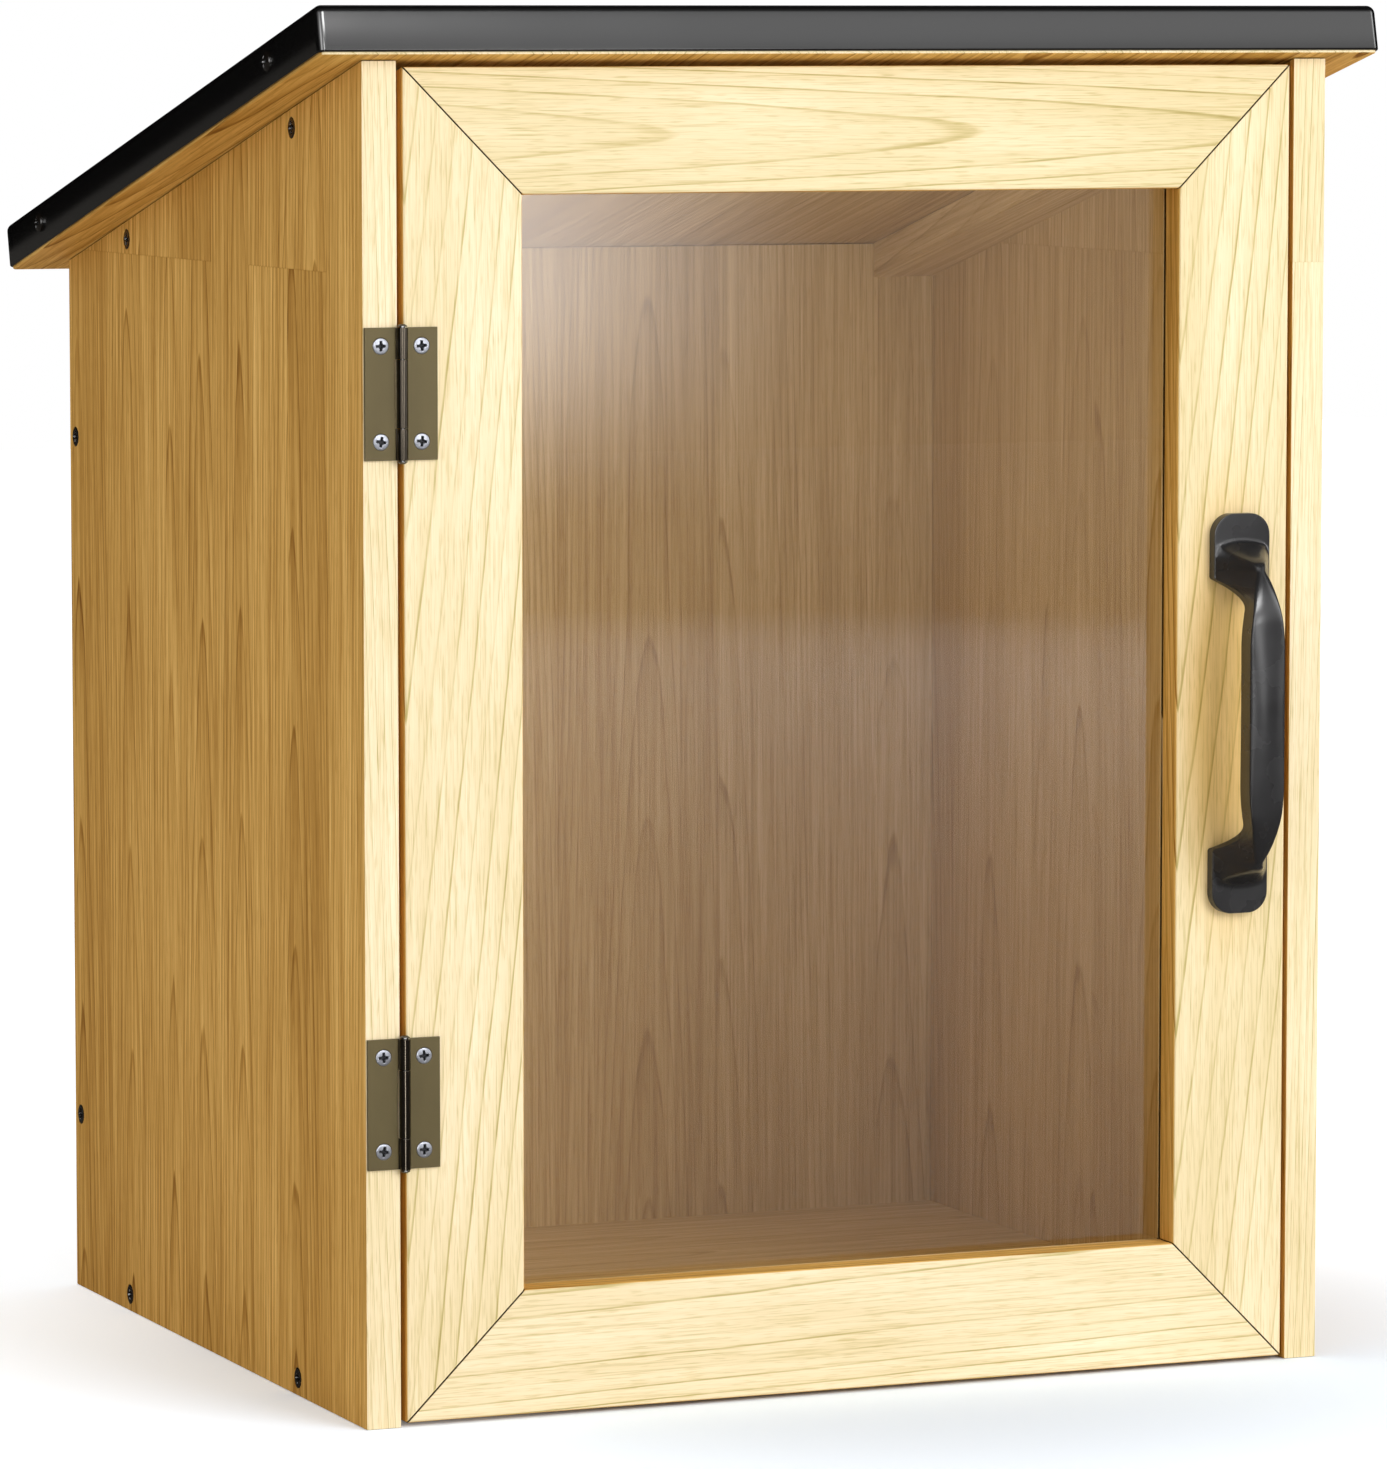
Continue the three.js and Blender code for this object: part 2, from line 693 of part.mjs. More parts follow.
function hingePin() {
  const half = hinge.height / 2 + seatGap;
  const head = half + hinge.pinHeadHeight;
  const shoulder = half + hinge.pinHeadHeight * brimShare;
  const points = [
    [0, -head],
    [hinge.pinRadius, -head],
    [hinge.pinHeadRadius, -shoulder],
    [hinge.pinHeadRadius, -half],
    [hinge.pinRadius, -half],
    [hinge.pinRadius, half],
    [hinge.pinHeadRadius, half],
    [hinge.pinHeadRadius, shoulder],
    [hinge.pinRadius, head],
    [0, head],
  ];
  return solidOf(turned(points, pinSides));
}

function addHinges() {
  const half = hinge.height / 2;
  const joint = half - hinge.height * hinge.endKnuckleShare;
  const endKnuckles = [
    [-half, -joint - seatGap / 2],
    [joint + seatGap / 2, half],
  ];
  const middleKnuckle = [[-joint + seatGap / 2, joint - seatGap / 2]];
  for (const { name, height } of hinges) {
    const frameSide = new THREE.Group();
    frameSide.position.set(hingeX, hingeY, height);
    cabinet.add(frameSide);
    addPiece(frameSide, `${name}_frame_leaf`, hingeLeaf(-1, endKnuckles), finishes.bronze);
    addPiece(frameSide, `${name}_pin`, hingePin(), finishes.bronze);
    const doorSide = new THREE.Group();
    doorSide.position.set(0, 0, height);
    door.add(doorSide);
    addPiece(doorSide, `${name}_door_leaf`, hingeLeaf(1, middleKnuckle), finishes.bronze);
    for (const [end, matrix] of leafPlaces(-1)) {
      addPiece(frameSide, `${name}_frame_screw_${end}`, screwSolid(hingeScrew), finishes.zinc, matrix);
    }
    for (const [end, matrix] of leafPlaces(1)) {
      addPiece(doorSide, `${name}_door_screw_${end}`, screwSolid(hingeScrew), finishes.zinc, matrix);
    }
  }
}

// How far a value has gone from one end of a stretch to the other, from 0 to 1: evenly, easing in
// and out, and fast at first as a quarter of a sine wave is.
const progress = (value, from, to) => THREE.MathUtils.clamp((value - from) / (to - from), 0, 1);
const eased = (value, from, to) => THREE.MathUtils.smoothstep(value, from, to);
const rising = (value, from, to) => Math.sin((progress(value, from, to) * Math.PI) / 2);
const between = (from, to, part) => THREE.MathUtils.lerp(from, to, part);

// How far the handle's front edges stand off the door at a distance from its nearer end.
function handleFront(fromEnd) {
  const h = handle;
  const neckRise = (h.frontAtShoulder - h.padThickness) * eased(fromEnd, h.heel, h.shoulder);
  const gripRise = (h.frontAtMiddle - h.frontAtShoulder) * rising(fromEnd, h.riseStart, h.riseEnd);
  return h.padThickness + neckRise + gripRise;
}

// One side of the handle's section there, as points of half width and standoff, from the corner at
// the back to the front edge. On the pad the flank steps in over the pad's face, and on the grip it
// runs straight.
function handleFlank(fromEnd) {
  const h = handle;
  const middle = h.length / 2;
  const endFlat = h.padWidth / 2 - h.padEndRadius;
  const toPad = 1 - progress(fromEnd, 0, h.padEndRadius);
  const padHalf = endFlat + h.padEndRadius * Math.sqrt(1 - toPad * toPad);
  const opening = rising(fromEnd, h.openingStart, h.openingEnd) ** gripPowerShare;
  const neckHalf = between(padHalf * neckWidthShare, h.waistWidth / 2, eased(fromEnd, h.heel, h.waist));
  const frontHalf = neckHalf + ((h.gripWidth - h.waistWidth) / 2) * opening;
  const upBack = rising(fromEnd, h.padLength, h.elbow);
  const backRise = (h.backAtMiddle - h.backAtElbow) * rising(fromEnd, h.elbow, middle);
  const footHalf = between(padHalf, frontHalf - h.backInset, upBack);
  const faceHalf = footHalf - h.padRim;
  const footShare = between(neckFootShare, 1, eased(fromEnd, h.heel, h.padFaceEnd));
  const foot = new THREE.Vector2(footHalf, h.backAtElbow * upBack + backRise);
  const edge = new THREE.Vector2(frontHalf, handleFront(fromEnd));
  const wall = foot.y + h.padThickness;
  const neckFoot = new THREE.Vector2(between(frontHalf, faceHalf, footShare), wall);
  const lower = new THREE.Vector2(footHalf, wall - h.padRim);
  const inner = new THREE.Vector2(faceHalf, wall);
  const upper = neckFoot.lerp(edge, neckFlankShare);
  lower.lerp(foot.clone().lerp(edge, gripFlankShares.lower), upBack);
  inner.lerp(foot.clone().lerp(edge, gripFlankShares.middle), upBack);
  upper.lerp(foot.clone().lerp(edge, gripFlankShares.upper), upBack);
  return [foot, lower, inner, upper, edge];
}

// One ring of the handle, anticlockwise seen from above, with the door at y = 0 and the grip at -Y.
function handleRing(z) {
  const h = handle;
  const fromEnd = h.length / 2 - Math.abs(z);
  const flank = handleFlank(fromEnd);
  const edgeHalf = flank.at(-1).x;
  const crown = h.crownHeight * eased(fromEnd, h.heel, h.length / 2);
  const crownPoints = crownPointShares.map((at) => {
    const swell = 1 - at * at;
    return [-at * edgeHalf, -handleFront(fromEnd + h.heelArc * swell) - crown * swell, z];
  });
  const right = flank.map(({ x, y }) => [x, -y, z]);
  const left = flank.map(({ x, y }) => [-x, -y, z]);
  return [right[0], ...left, ...crownPoints, ...right.slice(1).reverse()];
}

// Distances from an end where the handle has a ring: round the pad's end, over the neck, up the grip.
function handleStations() {
  const stations = [];
  for (let step = 0; step < handleEndSteps; step++) {
    const angle = (step / handleEndSteps) * (Math.PI / 2);
    stations.push(handle.padEndRadius * (1 - Math.cos(angle)));
  }
  const addStretch = (from, to, steps) => {
    for (let step = 1; step <= steps; step++) stations.push(between(from, to, step / steps));
  };
  addStretch(handle.padEndRadius, handle.heel, handlePadSteps);
  addStretch(handle.heel, handle.waist, handleStretchSteps);
  addStretch(handle.waist, handle.padLength, handlePadSteps);
  addStretch(handle.padLength, handle.elbow, handleStretchSteps);
  addStretch(handle.elbow, handle.length / 2, handleStretchSteps);
  return stations;
}

function addHandle() {
  const stations = handleStations();
  const lower = stations.map((fromEnd) => fromEnd - handle.length / 2);
  const upper = stations.slice(0, -1).reverse().map((fromEnd) => handle.length / 2 - fromEnd);
  const body = loft([...lower, ...upper].map(handleRing));
  const toHandle = new THREE.Matrix4().makeTranslation(handleLocal.clone().negate());
  const holes = handleScrewPlaces.map(([, matrix]) => toHandle.clone().multiply(matrix));
  const place = new THREE.Matrix4().makeTranslation(handleLocal);
  addPiece(door, "pull_handle", drill(body, handleScrew, holes), finishes.satinBlack, place);
  for (const [name, matrix] of handleScrewPlaces) {
    addPiece(door, name, screwSolid(handleScrew), finishes.steel, matrix);
  }
}

function addCatch() {
  const frontY = catchFrontY;
  const rearY = frontY + latch.depth;
  const innerX = innerHalfWidth - latch.bodyReach;
  const bodyHalf = latch.bodyLength / 2;
  const tabsHalf = bodyHalf + latch.tabLength;
  const magnetHalf = bodyHalf - latch.endWall;
  const magnetX = [innerX + latch.sideWall, catchFace - latch.sideWall];
  const magnetRear = rearY - latch.rearWall;
  const body = box([innerX, frontY, catchZ - bodyHalf], [innerHalfWidth, rearY, catchZ + bodyHalf]);
  const tabs = box([catchFace, frontY, catchZ - tabsHalf], [innerHalfWidth, rearY, catchZ + tabsHalf]);
  const pocket = box(
    [magnetX[0] - seatGap, frontY - overrun, catchZ - magnetHalf - seatGap],
    [magnetX[1] + seatGap, magnetRear + seatGap, catchZ + magnetHalf + seatGap],
  );
  const magnet = box(
    [magnetX[0], frontY - latch.magnetProud, catchZ - magnetHalf],
    [magnetX[1], magnetRear, catchZ + magnetHalf],
  );
  const housing = drill(body.add(tabs).subtract(pocket), catchScrew, matricesOf(catchPlaces));
  addPiece(cabinet, "catch_housing", housing, finishes.plastic);
  addPiece(cabinet, "catch_magnet", magnet, finishes.steel);
  for (const [name, matrix] of catchPlaces) {
    addPiece(cabinet, name, screwSolid(catchScrew), finishes.zinc, matrix);
  }
  const plate = box(
    [keeperX - latch.keeperWidth / 2, doorBack, catchZ - latch.keeperLength / 2],
    [keeperX + latch.keeperWidth / 2, keeperBack, catchZ + latch.keeperLength / 2],
  );
  addPiece(door, "catch_keeper", drill(plate, keeperScrew, [keeperPlace]), finishes.steel);
  addPiece(door, "keeper_screw", screwSolid(keeperScrew), finishes.zinc, keeperPlace);
}

addSidePanels();
addBackAndFloor();
addCleats();
addRoof();
addDoorFrame();
addGlazing();
addHinges();
addHandle();
addCatch();

export default boxRoot;
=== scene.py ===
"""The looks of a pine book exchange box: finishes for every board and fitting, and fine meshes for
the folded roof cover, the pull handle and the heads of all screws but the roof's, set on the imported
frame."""

import json
import math

import bmesh
import bpy
from mathutils import Matrix, Vector

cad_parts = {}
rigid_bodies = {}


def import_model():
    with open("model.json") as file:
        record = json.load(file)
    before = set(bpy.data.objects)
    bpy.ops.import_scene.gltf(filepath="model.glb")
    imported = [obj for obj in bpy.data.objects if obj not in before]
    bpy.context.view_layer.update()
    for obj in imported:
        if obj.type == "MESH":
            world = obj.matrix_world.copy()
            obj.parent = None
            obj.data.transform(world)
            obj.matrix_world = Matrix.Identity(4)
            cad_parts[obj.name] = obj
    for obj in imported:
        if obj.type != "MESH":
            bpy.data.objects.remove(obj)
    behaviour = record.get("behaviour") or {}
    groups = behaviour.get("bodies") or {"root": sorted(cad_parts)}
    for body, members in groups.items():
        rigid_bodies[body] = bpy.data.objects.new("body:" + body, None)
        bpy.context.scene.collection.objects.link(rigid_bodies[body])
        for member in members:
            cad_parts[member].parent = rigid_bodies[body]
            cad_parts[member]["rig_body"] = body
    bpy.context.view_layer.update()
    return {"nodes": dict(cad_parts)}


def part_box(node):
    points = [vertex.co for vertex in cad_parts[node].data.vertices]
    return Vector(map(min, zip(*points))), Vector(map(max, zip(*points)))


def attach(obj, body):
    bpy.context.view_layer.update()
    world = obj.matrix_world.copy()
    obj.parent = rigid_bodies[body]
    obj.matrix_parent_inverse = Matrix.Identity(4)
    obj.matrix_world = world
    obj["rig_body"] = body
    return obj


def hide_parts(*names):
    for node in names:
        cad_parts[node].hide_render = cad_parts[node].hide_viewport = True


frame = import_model()
nodes = frame["nodes"]

MM = 0.001
QUARTER = math.pi / 2

# The photograph's viewpoint, in millimetres and degrees from straight ahead.
CAMERA_PLACE = (-1162.5, -2785.6, 534.9)
CAMERA_YAW = 22.767
CAMERA_DROP = 5.535
CAMERA_LENS = 181.5
CAMERA_NEAR = 50

# The roof turns about the front top edge of the cabinet, and its cover is a shallow folded tray.
ROOF_SLOPE = math.radians(13.5)
ROOF_PIVOT = (0, -177.5, 519)
BODY_DEPTH = 355
COVER_HALF_WIDTH = 222.5
COVER_FRONT = -9.3
COVER_REAR = BODY_DEPTH / math.cos(ROOF_SLOPE) + 20.9
COVER_TOP = 19.3
COVER_SHEET = 1.0
COVER_BEND = 3.4
COVER_LIFT = 1.0
COVER_CURL = 0.9
COVER_STEPS = 8

HINGE_AXIS = -187.4

# Pull handle, as the frame has it: places run from its nearer end.
HANDLE = {
    "length": 158.6,
    "pad_width": 24.3,
    "pad_thickness": 4.5,
    "pad_length": 25.6,
    "pad_rim": 0.4,
    "end_radius": 8.5,
    "heel": 11.6,
    "heel_arc": 1.6,
    "pad_face_end": 17.2,
    "shoulder": 21.2,
    "waist": 22.6,
    "rise_start": 17.0,
    "rise_end": 43.0,
    "opening_start": 21.5,
    "opening_end": 53.0,
    "elbow": 37.3,
    "waist_width": 3.0,
    "grip_width": 15.3,
    "front_at_shoulder": 18.5,
    "front_at_middle": 27.7,
    "back_at_elbow": 17.5,
    "back_at_middle": 17.9,
    "back_inset": 0.8,
    "crown": 1.5,
    "edge": 0.9,
    "tip": 0.05,
}
END_STEPS = 12
GRIP_STEPS = 90
CROWN_STEPS = 14
BEND_STEPS = 6
GRIP_POWER = 0.8
NECK_WIDTH = 0.8
NECK_FOOT = 0.35
NECK_FLANK = 0.12
GRIP_FLANK = (0.3, 0.375, 0.45, 0.6)
EDGE_WIDTH_SHARE = 0.4
EDGE_FLANK_SHARE = 0.5


def srgb(red, green, blue):
    """A colour given as 8-bit sRGB values, as the linear colour that a shader takes."""

    def linear(value):
        share = value / 255
        return share / 12.92 if share <= 0.04045 else ((share + 0.055) / 1.055) ** 2.4

    return (linear(red), linear(green), linear(blue), 1)


WHITE = (1, 1, 1, 1)


class Shader:
    """The node tree of a material or a world, built one node at a time. Most calls return a socket."""

    def __init__(self, name, library=bpy.data.materials):
        self.material = library.new(name)
        self.material.use_nodes = True
        self.tree = self.material.node_tree
        self.tree.nodes.clear()
        is_world = library == bpy.data.worlds
        self.output = self.tree.nodes.new("ShaderNodeOutput" + ("World" if is_world else "Material"))

    def feed(self, socket, value):
        if isinstance(value, bpy.types.NodeSocket):
            self.tree.links.new(value, socket)
        else:
            socket.default_value = value

    def node(self, kind, inputs=None, **settings):
        node = self.tree.nodes.new(kind)
        for key, value in settings.items():
            setattr(node, key, value)
        for key, value in (inputs or {}).items():
            self.feed(node.inputs[key], value)
        return node

    def math(self, operation, *values):
        inputs = dict(enumerate(values))
        return self.node("ShaderNodeMath", inputs, operation=operation).outputs[0]

    def plus(self, first, second):
        return self.math("ADD", first, second)

    def minus(self, first, second):
        return self.math("SUBTRACT", first, second)

    def times(self, first, second):
        return self.math("MULTIPLY", first, second)

    def over(self, first, second):
        return self.math("DIVIDE", first, second)

    def unsigned(self, value):
        return self.math("ABSOLUTE", value)

    def length(self, first, second):
        squares = self.plus(self.times(first, first), self.times(second, second))
        return self.math("SQRT", squares)

    def above(self, value, bound):
        return self.math("GREATER_THAN", value, bound)

    def choose(self, factor, first, second):
        """A value between two, by a factor from 0 to 1."""
        return self.node("ShaderNodeMix", {0: factor, 2: first, 3: second}).outputs[0]

    def window(self, value, start, full, fade, end):
        """A share that rises from a start, stays full, and fades to an end."""
        return self.times(self.fit(value, start, full), self.fit(value, fade, end, 1.0, 0.0))

    def emission(self, strength):
        return self.node("ShaderNodeEmission", {"Color": WHITE, "Strength": strength}).outputs[0]

    def finish(self, shader):
        """Leads a shader to the output."""
        self.tree.links.new(shader, self.output.inputs["Surface"])
        return self.material

    def combine(self, x, y, z):
        return self.node("ShaderNodeCombineXYZ", {0: x, 1: y, 2: z}).outputs[0]

    def separate(self, vector):
        return self.node("ShaderNodeSeparateXYZ", {0: vector}).outputs

    def vector(self, operation, *values):
        inputs = dict(enumerate(values))
        return self.node("ShaderNodeVectorMath", inputs, operation=operation).outputs[0]

    def scaled(self, vector, x, y, z):
        return self.vector("MULTIPLY", vector, (x, y, z))

    def zoomed(self, vector, factor):
        return self.scaled(vector, factor, factor, factor)

    def mix(self, factor, first, second, blend="MIX"):
        node = self.node("ShaderNodeMix", data_type="RGBA", blend_type=blend)
        self.feed(node.inputs[0], factor)
        self.feed(node.inputs[6], first)
        self.feed(node.inputs[7], second)
        return node.outputs[2]

    def noise(self, vector, detail=2.0, roughness=0.5):
        inputs = {"Vector": vector, "Scale": 1.0, "Detail": detail, "Roughness": roughness}
        return self.node("ShaderNodeTexNoise", inputs).outputs["Fac"]

    def grain_noise(self, grain, mark):
        """The noise of a mark of the grain, drawn out along the third direction."""
        across, along, detail, roughness = NOISES[mark]
        return self.noise(self.scaled(grain, across, across, along), detail, roughness)

    def random(self, value):
        """A value and a colour picked at random for each whole number."""
        node = self.node("ShaderNodeTexWhiteNoise", noise_dimensions="1D")
        self.feed(node.inputs["W"], value)
        return node.outputs["Value"], node.outputs["Color"]

    def fit(self, value, low, high, to_low=0.0, to_high=1.0, smooth=False):
        node = self.node("ShaderNodeMapRange", {0: value, 1: low, 2: high, 3: to_low, 4: to_high})
        node.interpolation_type = "SMOOTHSTEP" if smooth else "LINEAR"
        return node.outputs[0]

    def total(self, *terms):
        """The sum of values, each times its weight."""
        result = 0.0
        for value, weight in terms:
            result = self.plus(result, self.times(value, weight))
        return result

    def bump(self, height, distance):
        inputs = {"Height": height, "Distance": distance, "Strength": 1.0}
        return self.node("ShaderNodeBump", inputs).outputs[0]

    def surface(self, inputs):
        return self.finish(self.node("ShaderNodeBsdfPrincipled", inputs).outputs[0])


# Tones of the wood. The front faces are painted pale and creamy, as lit faces, and every other face a
# deeper gold, as faces in shade: painted light and shade on one wood.
FRONT_TONE = srgb(254, 238, 205)
SIDE_TONE = srgb(245, 202, 121)
INNER_TONE = srgb(222, 199, 150)

# All grain is one stain, of which each layer keeps these shares of red, green and blue light.
SIDE_STAIN = (0.819, 0.763, 0.638)
FRONT_STAIN = (0.8, 0.787, 0.65)

# The layers of stain that each mark lays down where it is strongest.
SIDE_LAYERS = {
    "late": 1.3,
    "line": 3.9,
    "hairs": 2.0,
    "fibre": 1.1,
    "streak": 1.2,
    "patch": 0.5,
    "pores": 0.8,
    "strip": 0.9,
    "seam": 1.6,
}
FRONT_LAYERS = {
    "late": 0.35,
    "line": 2.7,
    "hairs": 1.2,
    "fibre": 0.35,
    "streak": 0.3,
    "patch": 0.6,
    "pores": 0.6,
    "seam": 0.8,
}

# Layers taken off again, so that the clearest wood is bare.
SIDE_CLEARED = 1.0
INSIDE_CLEARED = 1.45
FRONT_CLEARED = 0.45

# The shares of their strength that the rings, and then all marks, keep inside the cabinet.
INSIDE_RINGS_SHARE = 0.5
INSIDE_MARKS_SHARE = 0.8

# Noise for each mark: waves per millimetre across and along the grain, detail and roughness.
NOISES = {
    "sweep": (0.014, 0.0045, 1.5, 0.5),
    "ripple": (0.09, 0.016, 2.0, 0.5),
    "broken": (0.35, 0.03, 3.0, 0.5),
    "fibre": (1.3, 0.018, 4.0, 0.62),
    "streak": (0.21, 0.0035, 3.0, 0.6),
    "patch": (0.03, 0.006, 1.0, 0.5),
    "pores": (1.6, 0.09, 1.0, 0.5),
}
STREAK_SPAN = (0.25, 0.75)
PATCH_SPAN = (0.3, 0.7)
PORE_SPAN = (0.58, 0.7)
FIBRE_SPAN = (0.3, 0.7)

# Hairs per millimetre on the sides, and how many more there are on the front and inside. How many
# follow each other in a millimetre along the grain, and the noise that they begin at, are given for
# the sides and then for the front.
HAIRS_ACROSS = 0.45
HAIRS_MORE_AHEAD = 1.05
HAIRS_MORE_INSIDE = 0.4
HAIRS_ALONG = (0.009, 0.03)
HAIRS_BEGIN = (0.42, 0.5)
HAIRS_FULL = 0.74
HAIRS_DETAIL = 3.0
HAIRS_ROUGHNESS = 0.65

# Where in a ring, as shares of it, its late wood, its line and the drop to the next ring lie.
LATE_SPAN = (0.3, 0.95)
LINE_SPAN = (0.85, 0.95)
DROP_SPAN = (0.965, 1.0)
RING_FAINTEST = 0.3
RING_CONTRAST = 1.4
BREAK_SPAN = (0.38, 0.6)
BREAK_FAINTEST = 0.35

# How far noise moves a ring, in millimetres for each unit of wander.
SWEEP_REACH = 6
RIPPLE_REACH = 1.2

# A strip's own pith lies this far across and behind, in millimetres, with a random share added.
PITH_ACROSS = -5.0
PITH_BEHIND = 13.0
PITH_ACROSS_SHARE = 0.06
PITH_BEHIND_SHARE = 0.016
STRIP_SHIFT = 900.0

# Glue lines: half widths in millimetres, and how dark they are. Above a joint, some strips change.
SEAM_WIDTH = 0.35
SEAM_DARKNESS = 0.5
BUTT_WIDTH = 0.5
BUTT_DARKNESS = 0.35
UNJOINTED_SHARE = 0.25

# Numbers that keep the random choices for boards, strips, joints and rings apart.
SEED_OFFSET_SHARE = 0.37
SEED_STRIDE = 7
JOINT_SEED = 71.5
JOINT_STRIDE = 40.0
RING_SEED = 3.1

# Painted shade: the wood in the handle's shadow is painted a deeper gold, which fades over this span.
PAINTED_SHADE_TONE = srgb(252, 229, 178)
PAINTED_SHADE_SPAN = (0.35, 1.25)

# Cut ends show dark where a face turns towards the grain by these shares: partly the end grain's own tone
# and partly painted shade, deepest in the mitre gaps.
END_GRAIN_AND_GAP_SHADE = srgb(46, 40, 24)
END_SPAN = (0.35, 0.6)
END_STRENGTH = 0.9

# Shares by which a face looks forward, from none to all of the pale tone painted as lit.
FRONT_SPAN = (0.5, 0.9)

# Wood within these distances of the middle, in millimetres, is seen inside the cabinet.
INSIDE_HALF_WIDTH = 188.8
INSIDE_HALF_DEPTH = 163.8

WOOD_ROUGHNESS = (0.46, 0.6)
WOOD_SPECULAR = 0.1
WOOD_RELIEF = 0.1
FIBRE_RELIEF = 0.4
SEAM_RELIEF = 0.6
PORE_RELIEF = 0.2

AXES = {"X": 0, "Y": 1, "Z": 2}


def glued_strips(s, u, w, seed, width, joint, joint_from):
    """A board glued up from strips: the place across its strip, the strip's number and the darkness
    of its glue lines. A joint is the height above which some strips are another piece of wood."""
    strips = s.plus(s.over(u, width), seed * SEED_OFFSET_SHARE)
    strip = s.math("FLOOR", strips)
    into = s.minus(strips, strip)
    edge = s.math("MINIMUM", into, s.minus(1.0, into))
    seam = s.fit(edge, 0.0, SEAM_WIDTH / width, SEAM_DARKNESS, 0.0)
    if joint:
        chosen = s.above(s.random(s.plus(strip, JOINT_SEED))[0], UNJOINTED_SHARE)
        chosen = s.times(chosen, s.above(u, joint_from))
        strip = s.plus(strip, s.times(s.times(s.above(w, joint), chosen), JOINT_STRIDE))
        near = s.unsigned(s.minus(w, joint))
        butt = s.times(s.fit(near, 0.0, BUTT_WIDTH, BUTT_DARKNESS, 0.0), chosen)
        seam = s.math("MAXIMUM", seam, butt)
    return s.times(into, width), s.plus(strip, float(seed * SEED_STRIDE)), seam


def growth_rings(s, reach, grain, seed, ring):
    """Each ring warms slowly towards a thin dark line and then starts pale again."""
    rings = s.over(reach, ring)
    count = s.math("FLOOR", rings)
    phase = s.minus(rings, count)
    drop = s.fit(phase, *DROP_SPAN, 1.0, 0.0)
    late = s.times(s.fit(phase, *LATE_SPAN, smooth=True), drop)
    line = s.times(s.fit(phase, *LINE_SPAN, smooth=True), drop)
    chosen = s.random(s.plus(count, seed * RING_SEED))[0]
    strength = s.math("POWER", s.fit(chosen, 0.0, 1.0, RING_FAINTEST, 1.0), RING_CONTRAST)
    broken = s.fit(s.grain_noise(grain, "broken"), *BREAK_SPAN, BREAK_FAINTEST, 1.0)
    return s.times(late, strength), s.times(line, s.times(strength, broken))


def fine_marks(s, grain, front, inside):
    """Hairs, streaks, patches and pores. Hairs stand closer and shorter on the front than on the sides."""
    across = s.total((1.0, HAIRS_ACROSS), (front, HAIRS_MORE_AHEAD), (inside, HAIRS_MORE_INSIDE))
    along = s.fit(front, 0.0, 1.0, *HAIRS_ALONG)
    place = s.vector("MULTIPLY", grain, s.combine(across, across, along))
    hairs = s.noise(place, detail=HAIRS_DETAIL, roughness=HAIRS_ROUGHNESS)
    return {
        "hairs": s.fit(hairs, s.fit(front, 0.0, 1.0, *HAIRS_BEGIN), HAIRS_FULL),
        "streak": s.fit(s.grain_noise(grain, "streak"), *STREAK_SPAN),
        "patch": s.fit(s.grain_noise(grain, "patch"), *PATCH_SPAN),
        "pores": s.fit(s.grain_noise(grain, "pores"), *PORE_SPAN),
    }


def painted_handle_shade(s, colour, front, u, w, patch):
    """Paints the handle's shade golden on the front, within a patch given as its middle and half its size.
    """
    middle_u, middle_w, half_u, half_w = patch
    apart = s.length(s.over(s.minus(u, middle_u), half_u), s.over(s.minus(w, middle_w), half_w))
    shade_share = s.times(s.fit(apart, *PAINTED_SHADE_SPAN, 1.0, 0.0, smooth=True), front)
    return s.mix(shade_share, colour, s.mix(1.0, colour, PAINTED_SHADE_TONE, blend="MULTIPLY"))


